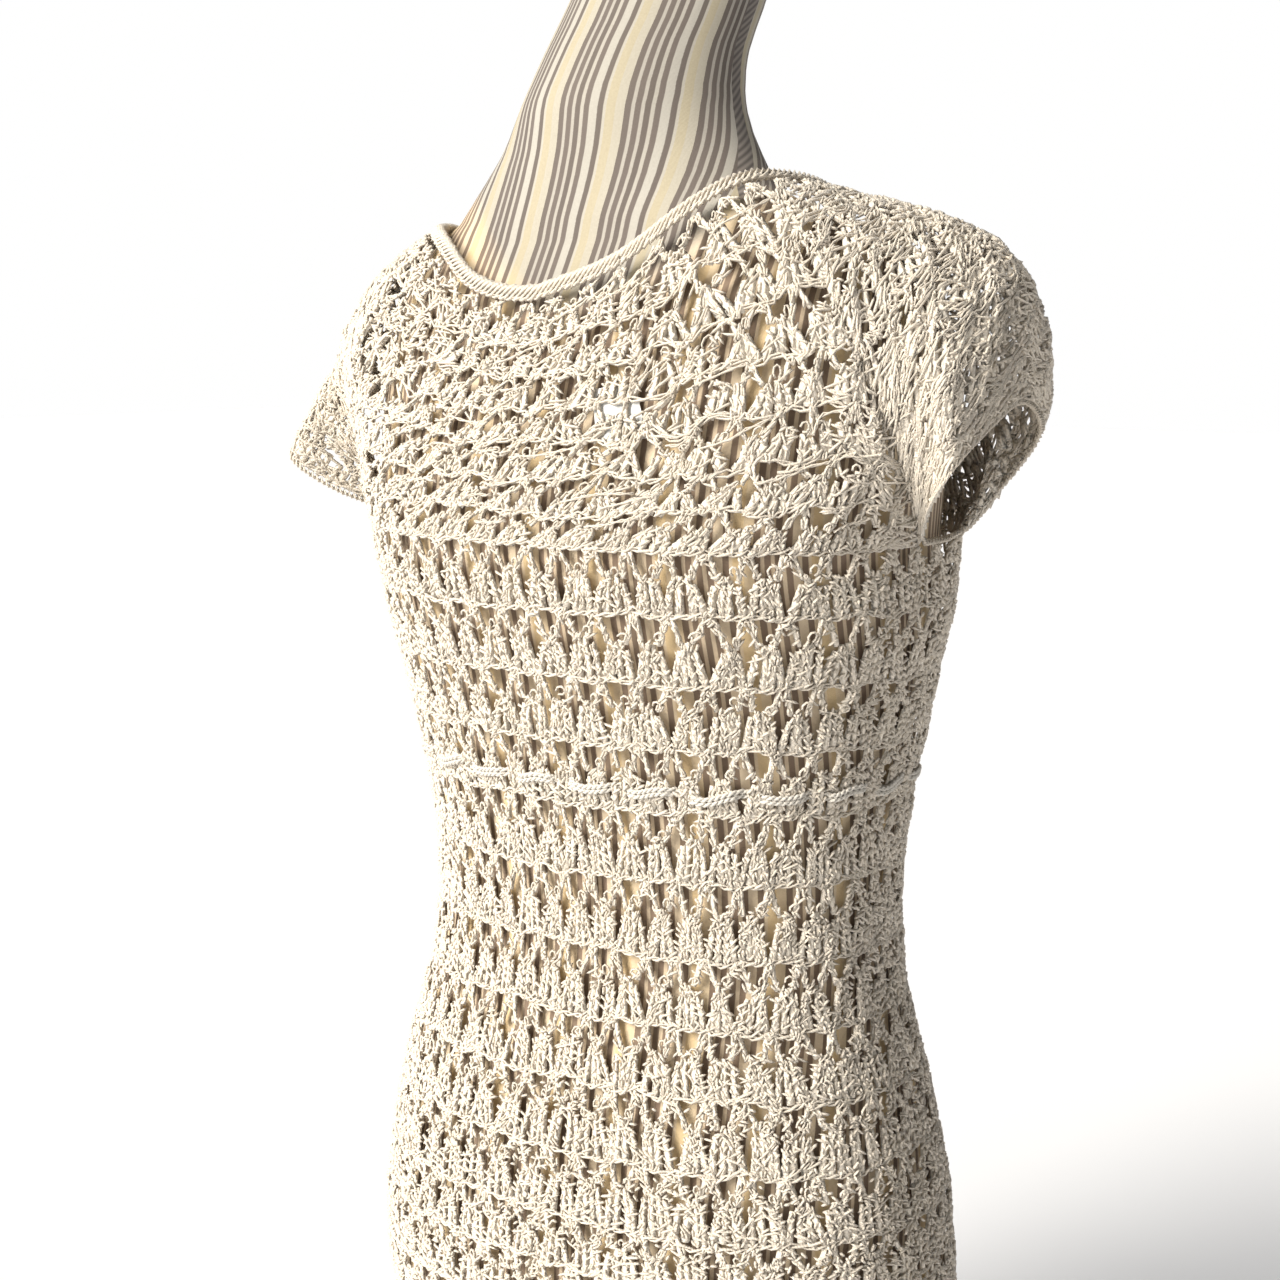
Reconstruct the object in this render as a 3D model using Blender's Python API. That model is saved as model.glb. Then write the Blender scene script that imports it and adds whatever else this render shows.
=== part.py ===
"""A crochet top with a round yoke and cap sleeves, on a limbless tabletop dress form.

The cloth is a hollow wall that follows the cut of the top: a body of closed sections, one
for each height, and a round yoke that runs from the neckline out to the underarm line and
to the edges of the two cap sleeves.  Each round of crochet ends in a raised chain line.
Lengths are in millimetres until a mesh is made.  +Z is up, the front faces -Y, +X is the
wearer's left, and heights in the tables are measured from the waist.
"""

import math

import bmesh
import bpy
import numpy as np

MM = 0.001
SEAM = 0.4           # clear space between two pieces that meet
WAIST = 395.0        # height of the waist above the surface that the base stands on

CLOTH = 2.4          # thickness of the crocheted wall
RIDGE = 0.9          # how far a chain line stands out of the wall
RIDGE_WIDTH = 4.0    # half width of a chain line
YOKE_RIDGE_WIDTH = -0.03  # the same on the yoke, as a share of the way down it
SWELL = 0.35         # height of the shells between two lines, as a share of a chain line
SHARP_ANGLE = 40     # faces that meet at more degrees than this are shaded apart

BODY_COLUMNS = 46    # stitch columns round the body
YOKE_COLUMNS = 70    # stitch columns round the yoke and the two sleeve edges
BACK_JOIN = 11       # columns from the centre back to where the back meets the sleeve
FRONT_JOIN = 25      # the same for the front, counted on round the sleeve
SLEEVE_SPARE = 12    # columns that a sleeve has and the body under the arm has not

SLIP = 15.0          # the neck has slipped this far towards the left shoulder
TILT = 0.10          # and its left side hangs lower, as a slope
TILT_REACH = 110.0   # out from the middle, where that slope ends

# Horizontal sections of the body of the top.
# height, half width, depth behind, depth in front, squareness
BODY_SECTIONS = (
    (228, 177, 133, 106, 2.5),
    (190, 174, 127, 112, 2.4),
    (150, 165, 118, 112, 2.35),
    (110, 157, 110, 108, 2.3),
    (70, 150, 102, 105, 2.3),
    (20, 146, 98, 102, 2.3),
    (-30, 150, 102, 102, 2.3),
    (-80, 164, 112, 108, 2.3),
    (-130, 176, 120, 114, 2.3),
    (-180, 182, 124, 118, 2.35),
    (-215, 184, 124, 119, 2.35),
    (-248, 180, 121, 116, 2.35),
)
UPPER_LINES = (194, 156, 120)
BAND_TOP, BAND_BOTTOM = 108, 82
LOWER_LINES = (77, 42, 2, -36, -73, -112, -148, -178, -212)
UNDERARM, HEM = 228, -246

# The neckline of the yoke, and the way the cloth leaves it.
# column, out, back, height, then the leaving pull: out, back, up
NECKLINE = (
    (0, 0, 101, 358, 0, 10, -42),
    (4.5, 52, 95, 371, 8, 12, -42),
    (7.5, 83, 80, 393, 24, 20, -38),
    (11, 107, 59, 408, 56, 26, -36),
    (14.5, 120, 22, 410, 68, 12, -18),
    (18, 121, -14, 403, 74, -4, -8),
    (21.5, 114, -44, 387, 64, -16, -16),
    (25, 96, -66, 366, 54, -24, -34),
    (30, 51, -88, 344, 10, -12, -40),
    (35, 0, -98, 334, 0, -8, -38),
)
# How the cloth comes down to the outer edge of the yoke: column, then the pull out, back, up
YOKE_FALL = (
    (0, 0, 2, 45),
    (5.5, 2, 4, 45),
    (9, 12, 26, 54),
    (11, 20, 60, 60),
    (12.5, 14, 36, 54),
    (14, 6, 16, 54),
    (16, 10, 4, 74),
    (18, 12, -4, 92),
    (20, 14, -10, 78),
    (22, 16, -18, 56),
    (23.5, 20, -38, 52),
    (25, 22, -58, 58),
    (27, 16, -32, 54),
    (30, 3, -14, 45),
    (35, 0, -8, 40),
)
# The free edge of a cap sleeve: column, out, back, height
SLEEVE_EDGE = (
    (12.5, 190, 38, 250),
    (14, 208, 50, 270),
    (16, 217, 24, 292),
    (18, 219, -10, 305),
    (20, 216, -42, 296),
    (22, 204, -62, 279),
    (23.5, 186, -52, 252),
)
# The left sleeve stands off like a small wing behind: column, out, back, up
LEFT_FLARE = (
    (11, 0, 0, 0),
    (12.5, 15, 16, -6),
    (14, 20, 21, -5),
    (16, 12, 14, -4),
    (18, 0, 0, 0),
)
FLARE_START = 0.74   # share of the way down where the wing begins
FLARE_POWER = 1.2    # above 1 the wing bends away slowly at first
YOKE_LINES = (0.18, 0.32, 0.46, 0.60, 0.74, 0.87)  # chain lines as shares of the way down the yoke

NECK_EDGING = (4.2, 1.8)     # half height and half thickness of the twisted edging
HEM_EDGING = (1.8, 1.6)
SLEEVE_EDGING = (1.6, 1.6)
SLEEVE_SEAM = 1.0            # its clear space, wider because the edge turns sharply
UNDER_ARM = (1.4, 0.4, 5)    # columns left free before and after its run there, and its points
EDGING_SIDES = 6
DRAWSTRING = (3.5, 1.3)
DRAWSTRING_SIDES = 4
DRAWSTRING_HEIGHT = 95
KNOT = (9, 4.5, 6.5)         # half sizes of the knot: across, outwards, up
KNOT_RINGS, KNOT_SIDES = 5, 12
LABEL = (-3.9, -2.3, 0.40, 0.60, 0.6)  # first and last column, first and last share, thickness
SECTION_STEPS = 720          # straight steps that stand for one closed section
FALL_STEPS = 40              # the same for the yoke from the neck to its edge

# Horizontal sections of the dress form.
# height, half width, half depth, middle set left, middle set back, squareness
FORM_SECTIONS = (
    (548, 56, 52, 8, -28, 2.0),
    (524, 58, 52, 8, -13, 2.0),
    (491, 61, 52, 9, 8, 2.0),
    (466, 67, 54, 9.5, 18, 2.0),
    (440, 81, 50, 10, 22, 2.0),
    (415, 101, 48, 9.5, 25, 2.1),
    (402, 118, 49, 2.5, 26, 2.2),
    (390, 136, 52, 1.5, 24, 2.4),
    (376, 152.5, 64, 0.5, 18, 2.6),
    (358, 161.5, 79, 0.5, 12, 2.8),
    (335, 167, 92, 0.5, 7, 2.9),
    (300, 169, 103, 0, 7, 2.8),
    (260, 170, 110, 0, 11, 2.6),
    (228, 169, 113, 0, 13, 2.5),
    (190, 166.5, 112.5, 0, 7, 2.4),
    (150, 158.5, 107, 0, 2, 2.35),
    (110, 150.5, 101, 0, 1, 2.3),
    (60, 143.5, 96, 0, -1, 2.3),
    (20, 140.5, 93, 0, -1, 2.3),
    (-30, 144.5, 96, 0, 0, 2.3),
    (-80, 157.5, 103, 0, 2, 2.3),
    (-130, 169.5, 110, 0, 2, 2.3),
    (-180, 175.5, 114, 0, 2, 2.35),
    (-215, 177, 114.5, 0, 2, 2.35),
    (-245, 171, 110.5, 0, 2, 2.35),
    (-268, 156, 99, 0, 2, 2.3),
    (-284, 124, 77, 0, 2, 2.2),
)
FORM_SIDES = 32
NECK_CAP = 8         # thickness of the cap on the neck
NECK_CAP_EDGE = 2    # height of its sloping edge
NECK_CAP_CROWN = 0.94  # size of its top as a share of the neck
POST_RADIUS, POST_SIDES = 14, 24
BASE_RADIUS, BASE_HEIGHT, BASE_EDGE, BASE_SIDES = 150, 14, 4, 48


def hermite(knots, values, at):
    """Smooth curve through the values at the knots."""
    knots = np.asarray(knots, float)
    values = np.asarray(values, float)
    slopes = np.gradient(values, knots, axis=0)
    at = np.asarray(at, float)
    i = np.clip(np.searchsorted(knots, at, side="right") - 1, 0, len(knots) - 2)
    span = knots[i + 1] - knots[i]
    t = (at - knots[i]) / span
    shape = (slice(None),) * at.ndim + (None,) * (values.ndim - 1)
    t, span = t[shape], span[shape]
    a = 2 * t**3 - 3 * t**2 + 1
    b = t**3 - 2 * t**2 + t
    c = -2 * t**3 + 3 * t**2
    d = t**3 - t**2
    return a * values[i] + b * span * slopes[i] + c * values[i + 1] + d * span * slopes[i + 1]


def body_section(height):
    """One closed horizontal section as a function of the column, at any height."""
    table = np.array(BODY_SECTIONS[::-1], float)
    half, behind, front, square = hermite(table[:, 0], table[:, 1:], height)
    turn = np.linspace(0, 2 * math.pi, SECTION_STEPS + 1)
    sin, cos = np.sin(turn), np.cos(turn)
    x = half * np.sign(sin) * np.abs(sin) ** (2 / square)
    y = np.sign(cos) * np.abs(cos) ** (2 / square) * np.where(cos > 0, behind, front)
    run = np.concatenate([[0], np.cumsum(np.hypot(np.diff(x), np.diff(y)))])

    def place(column):
        at = np.mod(column, BODY_COLUMNS) / BODY_COLUMNS * run[-1]
        return np.stack([np.interp(at, run, x), np.interp(at, run, y)], -1)

    return place


def body_points(columns, heights):
    """Points of the body: one ring of the given columns for each height."""
    rings = []
    for height in heights:
        flat = body_section(height)(columns)
        rings.append(np.column_stack([flat, np.full(len(flat), float(height))]))
    return np.array(rings)


def mirrored(table):
    """A half table from the centre back to the centre front, carried on past both ends."""
    table = np.array(table, float)
    flip = table.copy()
    flip[:, 1::3] *= -1
    before = flip.copy()
    before[:, 0] *= -1
    after = flip.copy()
    after[:, 0] = YOKE_COLUMNS - after[:, 0]
    rows = np.vstack([before, table, after])
    rows = rows[np.argsort(rows[:, 0], kind="stable")]
    keep = np.concatenate([[True], np.diff(rows[:, 0]) > 1e-6])
    return rows[keep]


def yoke_edge(columns):
    """The outer edge of the yoke: the body's top line, and between the joins the sleeve."""
    top = body_section(UNDERARM)
    rows = np.array(SLEEVE_EDGE, float)
    start = np.append(top(BACK_JOIN), UNDERARM)
    end = np.append(top(FRONT_JOIN - SLEEVE_SPARE), UNDERARM)
    knots = np.concatenate([[BACK_JOIN], rows[:, 0], [FRONT_JOIN]])
    path = np.vstack([start, rows[:, 1:], end])
    points = []
    for column in columns:
        side = 1 if column <= YOKE_COLUMNS / 2 else -1
        at = column if side > 0 else YOKE_COLUMNS - column
        if at <= BACK_JOIN or at >= FRONT_JOIN:
            x, y = top(at if at <= BACK_JOIN else at - SLEEVE_SPARE)
            z = UNDERARM
        else:
            x, y, z = hermite(knots, path, at)
        points.append((side * x, y, z))
    return np.array(points)


def settle(rings, columns, shares):
    """The yoke as it hangs: its neck a little to the left, and the left sleeve flared."""
    near_neck = (1 - np.asarray(shares)[:, None]) ** 2
    moved = rings.copy()
    moved[..., 0] += SLIP * near_neck
    moved[..., 2] -= TILT * np.clip(rings[..., 0], -TILT_REACH, TILT_REACH) * near_neck
    table = np.array(LEFT_FLARE, float)
    near_edge = np.clip((np.asarray(shares) - FLARE_START) / (1 - FLARE_START), 0, 1)
    inside = np.clip(columns, table[0, 0], table[-1, 0])
    flare = hermite(table[:, 0], table[:, 1:], inside)
    return moved + near_edge[:, None, None] ** FLARE_POWER * flare


def yoke_points(columns, shares):
    """Points of the yoke: a ring of columns for each share of the way from neck to edge."""
    columns = np.mod(np.asarray(columns, float), YOKE_COLUMNS)
    neck = mirrored(NECKLINE)
    fall = mirrored(YOKE_FALL)
    start = hermite(neck[:, 0], neck[:, 1:], columns)
    pull = hermite(fall[:, 0], fall[:, 1:], columns)
    edge = yoke_edge(columns)
    p0, p1 = start[:, :3], start[:, :3] + start[:, 3:]
    p2, p3 = edge + pull, edge
    t = np.linspace(0, 1, FALL_STEPS + 1)[:, None, None]
    curve = (1 - t) ** 3 * p0 + 3 * t * (1 - t) ** 2 * p1 + 3 * t**2 * (1 - t) * p2 + t**3 * p3
    step = np.linalg.norm(np.diff(curve, axis=0), axis=2)
    run = np.vstack([np.zeros(len(columns)), np.cumsum(step, axis=0)])
    run /= run[-1]
    rings = np.empty((len(shares), len(columns), 3))
    for k in range(len(columns)):
        for axis in range(3):
            rings[:, k, axis] = np.interp(shares, run[:, k], curve[:, k, axis])
    return settle(rings, columns, shares)


def outward(rings):
    """Unit normals of a grid of closed rings that run down from the top."""
    down = np.gradient(rings, axis=0)
    around = np.roll(rings, -1, axis=1) - np.roll(rings, 1, axis=1)
    normal = np.cross(around, down)
    return normal / np.linalg.norm(normal, axis=2, keepdims=True)


def make_object(name, rings, material, closed_profile=True):
    """A solid from rings of equal length, each joined to the next."""
    rings = np.asarray(rings, float)
    count, size = rings.shape[:2]
    mesh = bpy.data.meshes.new(name)
    bm = bmesh.new()
    lift = np.array([0, 0, WAIST])
    grid = [[bm.verts.new((p + lift) * MM) for p in ring] for ring in rings]
    for i in range(count if closed_profile else count - 1):
        here, after = grid[i], grid[(i + 1) % count]
        for k in range(size):
            j = (k + 1) % size
            bm.faces.new((here[k], here[j], after[j], after[k]))
    if not closed_profile:
        bm.faces.new(grid[0])
        bm.faces.new(grid[-1])
    bmesh.ops.recalc_face_normals(bm, faces=bm.faces)
    bmesh.ops.triangulate(bm, faces=bm.faces)
    bm.to_mesh(mesh)
    bm.free()
    mesh.shade_smooth()
    mesh.set_sharp_from_angle(angle=math.radians(SHARP_ANGLE))
    mesh.materials.append(material)
    thing = bpy.data.objects.new(name, mesh)
    bpy.context.collection.objects.link(thing)
    return thing


def make_material(name, colour, roughness, metallic=0.0):
    material = bpy.data.materials.new(name)
    material.use_nodes = True
    shader = material.node_tree.nodes["Principled BSDF"]
    shader.inputs["Base Color"].default_value = (*colour, 1)
    shader.inputs["Roughness"].default_value = roughness
    shader.inputs["Metallic"].default_value = metallic
    material.diffuse_color = (*colour, 1)
    return material


def clear_scene():
    for thing in list(bpy.data.objects):
        bpy.data.objects.remove(thing, do_unlink=True)


def ridge_rings(top, bottom, lines, width, between):
    """Places of the outer rings and how far each stands out: three to a chain line.

    Between two lines lie as many more rings as are asked for, on the shells' low swell.
    """
    places, reliefs = [], []
    last = top
    for line in (*lines, bottom):
        first = last if last == top else last - width
        end = bottom if line == bottom else line + width
        swell = np.linspace(first, end, between + 2)
        places += list(swell)
        reliefs += [0.0, *[SWELL] * between, 0.0]
        if line != bottom:
            places.append(line)
            reliefs.append(1.0)
        last = line
    return np.array(places), np.array(reliefs)


def wall_faces(points_at, columns, places, reliefs, cuts):
    """The outer and inner rings of a wall.

    The ends that lie at one of the cut heights are cut level and meet their neighbour.
    """
    rings = points_at(columns, places)
    normals = outward(rings)
    outer = rings + normals * (reliefs * RIDGE)[:, None, None]
    inner = rings - normals * CLOTH
    for end in (0, -1):
        for height in cuts:
            level = np.abs(rings[end, :, 2] - height) < 1e-6
            outer[end, level, 2] = height
            inner[end, level, 2] = height
    return outer, inner


def make_wall(name, faces, inner_every, material):
    """A hollow wall: raised rings outside, fewer and plain rings inside."""
    outer, inner = faces
    kept = sorted(set(range(0, len(inner), inner_every)) | {len(inner) - 1}, reverse=True)
    make_object(name, np.vstack([outer, inner[kept]]), material)


def edge_frames(outer, inner, away):
    """Middle of a closed edge, the way straight off it, and the way through the wall."""
    ahead = np.roll(outer, -1, axis=0) - np.roll(outer, 1, axis=0)
    across = outer - inner
    off = np.cross(ahead, across)
    off /= np.linalg.norm(off, axis=1, keepdims=True)
    off *= np.sign(np.sum(off * away, axis=1, keepdims=True))
    across = across / np.linalg.norm(across, axis=1, keepdims=True)
    return (outer + inner) / 2, off, across


def cord_rings(path, along, across, size, sides):
    """Sections of a closed cord: half sizes along and across, one section for each point."""
    turn = np.arange(sides) * 2 * math.pi / sides
    cos, sin = np.cos(turn)[None, :, None], np.sin(turn)[None, :, None]
    return path[:, None] + size[0] * cos * along[:, None] + size[1] * sin * across[:, None]


def make_edging(name, faces, end, size, yarn):
    """A worked edge that runs round a wall's first (0) or last (-1) ring."""
    outer, inner = faces
    away = outer[0] - outer[1] if end == 0 else outer[-1] - outer[-2]
    middle, off, across = edge_frames(outer[end], inner[end], away)
    path = middle + off * (size[0] + SEAM)
    make_object(name, cord_rings(path, off, across, size, EDGING_SIDES), yarn)


def make_sleeve_edging(name, side, yoke, body, yarn):
    """The chain round an armhole: over the sleeve's edge and back under the arm."""
    reach = SLEEVE_EDGING[0] + SLEEVE_SEAM
    outer, inner = yoke
    middle, off, across = edge_frames(outer[-1], inner[-1], outer[-1] - outer[-2])
    columns = np.arange(BACK_JOIN + 1, FRONT_JOIN - 1)
    if side < 0:
        columns = YOKE_COLUMNS - columns
    sleeve = (middle + off * reach)[columns]
    seats = np.arange(BACK_JOIN, FRONT_JOIN - SLEEVE_SPARE + 1) * side
    top = (body[0][0][seats] + body[1][0][seats]) / 2
    before, after, count = UNDER_ARM
    under = np.linspace(len(seats) - before, after, count)
    arm = np.stack([np.interp(under, range(len(seats)), top[:, k]) for k in range(3)], -1)
    arm[:, 2] += reach
    path = np.vstack([sleeve, arm])
    sideways = np.tile([side, 0, 0.0], (len(arm), 1))
    across = np.vstack([across[columns], sideways])
    along = np.vstack([off[columns], np.tile([0, 0, 1.0], (len(arm), 1))])
    make_object(name, cord_rings(path, along, across, SLEEVE_EDGING, EDGING_SIDES), yarn)


def make_drawstring(cord):
    """The flat cord round the posts of its band, and the plain knot that closes it."""
    half, thick = DRAWSTRING
    columns = np.arange(0, BODY_COLUMNS, 0.5)
    rings = body_points(columns, [DRAWSTRING_HEIGHT + half, DRAWSTRING_HEIGHT - half])
    out = outward(rings)[0]
    path = rings.mean(axis=0) + out * (SEAM + thick)
    along = np.tile([0, 0, 1.0], (len(path), 1))
    make_object("drawstring", cord_rings(path, along, out, DRAWSTRING, DRAWSTRING_SIDES), cord)
    front = body_section(DRAWSTRING_HEIGHT)(BODY_COLUMNS / 2)
    y = front[1] - 2 * SEAM - 2 * thick - KNOT[1]
    rings = []
    turn = np.arange(KNOT_SIDES) * 2 * math.pi / KNOT_SIDES
    for step in range(1, KNOT_RINGS + 1):
        tilt = math.pi * step / (KNOT_RINGS + 1)
        x = KNOT[0] * math.sin(tilt) * np.cos(turn)
        deep = y + KNOT[1] * math.sin(tilt) * np.sin(turn)
        z = np.full(KNOT_SIDES, DRAWSTRING_HEIGHT + KNOT[2] * math.cos(tilt))
        rings.append(np.column_stack([x, deep, z]))
    make_object("drawstring_knot", rings, cord, closed_profile=False)


def make_label(tape):
    """The blank label inside the back of the neck, a thin slab just behind the cloth."""
    first, last, top, bottom, thick = LABEL
    columns = np.linspace(first, last, 5)
    shares = np.linspace(top, bottom, 4)
    wide = np.concatenate([[columns[0] - 0.01], columns, [columns[-1] + 0.01]])
    normals = outward(yoke_points(wide, shares))[:, 1:-1]
    front = yoke_points(columns, shares) - normals * (CLOTH + 2 * SEAM)
    back = front - normals * thick
    rings = [np.vstack([a, b[::-1]]) for a, b in zip(front, back)]
    make_object("neck_label", rings, tape, closed_profile=False)


def form_rings():
    turn = np.arange(FORM_SIDES) * 2 * math.pi / FORM_SIDES
    sin, cos = np.sin(turn), np.cos(turn)
    rings = []
    for height, half, deep, left, back, square in FORM_SECTIONS:
        x = left + half * np.sign(sin) * np.abs(sin) ** (2 / square)
        y = back + deep * np.sign(cos) * np.abs(cos) ** (2 / square)
        rings.append(np.column_stack([x, y, np.full(FORM_SIDES, float(height))]))
    return rings


def turned(name, profile, sides, material):
    """A turned solid about the upright axis: radius and height above the ground."""
    turn = np.arange(sides) * 2 * math.pi / sides
    rings = []
    for radius, height in profile:
        z = np.full(sides, height - WAIST)
        rings.append(np.column_stack([radius * np.cos(turn), radius * np.sin(turn), z]))
    make_object(name, rings, material, closed_profile=False)


def make_form(fabric, wood, steel):
    rings = form_rings()
    make_object("form_body", rings, fabric, closed_profile=False)
    top = rings[0] + (0, 0, SEAM)
    middle = top.mean(axis=0)
    rim = top + (0, 0, NECK_CAP - NECK_CAP_EDGE)
    crown = middle + (top - middle) * NECK_CAP_CROWN + (0, 0, NECK_CAP)
    make_object("form_neck_cap", [top, rim, crown], wood, closed_profile=False)
    foot = BASE_HEIGHT + SEAM
    form_bottom = WAIST + FORM_SECTIONS[-1][0] - SEAM
    turned("stand_post", [(POST_RADIUS, foot), (POST_RADIUS, form_bottom)], POST_SIDES, steel)
    shoulder = BASE_HEIGHT - BASE_EDGE
    rim = [(BASE_RADIUS, 0), (BASE_RADIUS, shoulder), (BASE_RADIUS - BASE_EDGE, BASE_HEIGHT)]
    turned("stand_base", rim, BASE_SIDES, wood)


def main():
    clear_scene()
    yarn = make_material("cotton_yarn", (0.74, 0.67, 0.56), 0.9)
    cord = make_material("crocheted_cord", (0.82, 0.78, 0.70), 0.9)
    tape = make_material("label_tape", (0.9, 0.9, 0.88), 0.6)
    fabric = make_material("striped_cotton", (0.76, 0.70, 0.58), 0.85)
    wood = make_material("turned_wood", (0.45, 0.29, 0.16), 0.5)
    steel = make_material("bare_steel", (0.55, 0.55, 0.55), 0.35, 1.0)

    shares, reliefs = ridge_rings(0.0, 1.0, YOKE_LINES, YOKE_RIDGE_WIDTH, 1)
    columns = np.arange(YOKE_COLUMNS)
    yoke = wall_faces(yoke_points, columns, shares, reliefs, [UNDERARM])
    make_wall("yoke", yoke, 3, yarn)
    stretches = (
        ("body_upper", UNDERARM - SEAM, BAND_TOP + SEAM, UPPER_LINES),
        ("drawstring_band", BAND_TOP, BAND_BOTTOM, ()),
        ("body_lower", BAND_BOTTOM - SEAM, HEM, LOWER_LINES),
    )
    body = {}
    columns = np.arange(BODY_COLUMNS)
    for name, top, bottom, lines in stretches:
        places, reliefs = ridge_rings(top, bottom, lines, RIDGE_WIDTH, 0)
        body[name] = wall_faces(body_points, columns, places, reliefs, [top, bottom])
        make_wall(name, body[name], 4, yarn)
    make_edging("neck_edging", yoke, 0, NECK_EDGING, yarn)
    make_edging("hem_edging", body["body_lower"], -1, HEM_EDGING, yarn)
    make_sleeve_edging("sleeve_edging_left", 1, yoke, body["body_upper"], yarn)
    make_sleeve_edging("sleeve_edging_right", -1, yoke, body["body_upper"], yarn)
    make_drawstring(cord)
    make_label(tape)
    make_form(fabric, wood, steel)


main()
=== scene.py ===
# Crochet top on a striped dress form. The yarn is laid strand by strand over the form of the cloth.
import math
import bpy
import numpy as np
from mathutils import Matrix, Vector


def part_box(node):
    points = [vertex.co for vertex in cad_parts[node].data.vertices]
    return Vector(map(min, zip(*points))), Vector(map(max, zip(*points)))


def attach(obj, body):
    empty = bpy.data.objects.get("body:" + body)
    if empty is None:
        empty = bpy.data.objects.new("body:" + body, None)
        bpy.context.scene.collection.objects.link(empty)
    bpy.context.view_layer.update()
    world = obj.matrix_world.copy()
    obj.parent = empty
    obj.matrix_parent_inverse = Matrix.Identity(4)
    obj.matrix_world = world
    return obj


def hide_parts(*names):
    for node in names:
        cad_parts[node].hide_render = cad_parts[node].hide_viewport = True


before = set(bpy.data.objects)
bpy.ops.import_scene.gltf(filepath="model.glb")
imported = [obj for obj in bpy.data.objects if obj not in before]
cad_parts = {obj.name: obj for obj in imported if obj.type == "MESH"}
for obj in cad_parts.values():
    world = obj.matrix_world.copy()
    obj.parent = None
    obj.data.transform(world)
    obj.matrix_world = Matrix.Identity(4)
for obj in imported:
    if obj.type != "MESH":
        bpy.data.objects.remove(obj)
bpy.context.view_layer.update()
mm = 0.001
turn = 2 * math.pi
print("frame loaded with", len(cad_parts), "nodes")

# camera

view = {
    "place": (-0.6768, 0.9911, 0.735),
    "round": 215,   # degrees round the object, 0 is straight in front
    "down": 8.5,
    "lens": 58.05,
    "sensor": 36,
    "clip": (0.05, 60),
}


def wayOut(around, up):
    # from the middle of the object, in degrees round it and up
    around, up = math.radians(around), math.radians(up)
    return Vector((math.sin(around) * math.cos(up), -math.cos(around) * math.cos(up), math.sin(up)))


def setCamera():
    data = bpy.data.cameras.new("camera")
    data.lens, data.sensor_width = view["lens"], view["sensor"]
    data.clip_start, data.clip_end = view["clip"]
    camera = bpy.data.objects.new("camera", data)
    camera.location = view["place"]
    camera.rotation_mode = "QUATERNION"
    camera.rotation_quaternion = (-wayOut(view["round"], view["down"])).to_track_quat("-Z", "Y")
    bpy.context.collection.objects.link(camera)
    bpy.context.scene.camera = camera


setCamera()
print("camera set")

# the form of the cloth, in mm, heights from the waist

top = {
    "waist": 395.0,
    "bodyColumns": 46,
    "yokeColumns": 70,
    "backJoin": 11,        # columns of the yoke from the middle of the back to each end of the armhole
    "frontJoin": 25,
    "sleeveSpare": 12,     # columns of the yoke that the body has no stitches for, at each arm
    "underarm": 228.0,
    "hem": -246.0,
    "slip": 15.0,          # mm that the neckline has slid to the left
    "tilt": 0.10,          # and how much lower it hangs there
    "tiltReach": 110.0,
    "flareStart": 0.74,    # share of the yoke's depth where the left sleeve starts to stand off
    "flarePower": 1.2,
    "bodyStep": 2.0,       # mm between the rings of points that stand for the body
    "bodyFine": 12,        # points in a column of them
    "yokeRings": 81,
    "yokeFine": 8,
    # height, half width, depth behind, depth in front, squareness
    "bodySections": (
        (228, 177, 133, 106, 2.5),
        (190, 174, 127, 112, 2.4),
        (150, 165, 118, 112, 2.35),
        (110, 157, 110, 108, 2.3),
        (70, 150, 102, 105, 2.3),
        (20, 146, 98, 102, 2.3),
        (-30, 150, 102, 102, 2.3),
        (-80, 164, 112, 108, 2.3),
        (-130, 176, 120, 114, 2.3),
        (-180, 182, 124, 118, 2.35),
        (-215, 184, 124, 119, 2.35),
        (-248, 180, 121, 116, 2.35),
    ),
    # column, out, back, height, then the leaving pull: out, back, up
    "neckline": (
        (0, 0, 101, 358, 0, 10, -42),
        (4.5, 52, 95, 371, 8, 12, -42),
        (7.5, 83, 80, 393, 24, 20, -38),
        (11, 107, 59, 408, 56, 26, -36),
        (14.5, 120, 22, 410, 68, 12, -18),
        (18, 121, -14, 403, 74, -4, -8),
        (21.5, 114, -44, 387, 64, -16, -16),
        (25, 96, -66, 366, 54, -24, -34),
        (30, 51, -88, 344, 10, -12, -40),
        (35, 0, -98, 334, 0, -8, -38),
    ),
    # column, then the pull at the outer edge: out, back, up
    "yokeFall": (
        (0, 0, 2, 45),
        (5.5, 2, 4, 45),
        (9, 12, 26, 54),
        (11, 20, 60, 60),
        (12.5, 14, 36, 54),
        (14, 6, 16, 54),
        (16, 10, 4, 74),
        (18, 12, -4, 92),
        (20, 14, -10, 78),
        (22, 16, -18, 56),
        (23.5, 20, -38, 52),
        (25, 22, -58, 58),
        (27, 16, -32, 54),
        (30, 3, -14, 45),
        (35, 0, -8, 40),
    ),
    # column, out, back, height
    "sleeveEdge": (
        (12.5, 190, 38, 250),
        (14, 208, 50, 270),
        (16, 217, 24, 292),
        (18, 219, -10, 305),
        (20, 216, -42, 296),
        (22, 204, -62, 279),
        (23.5, 186, -52, 252),
    ),
    # column, out, back, up
    "leftFlare": (
        (11, 0, 0, 0),
        (12.5, 15, 16, -6),
        (14, 20, 21, -5),
        (16, 12, 14, -4),
        (18, 0, 0, 0),
    ),
}


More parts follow.
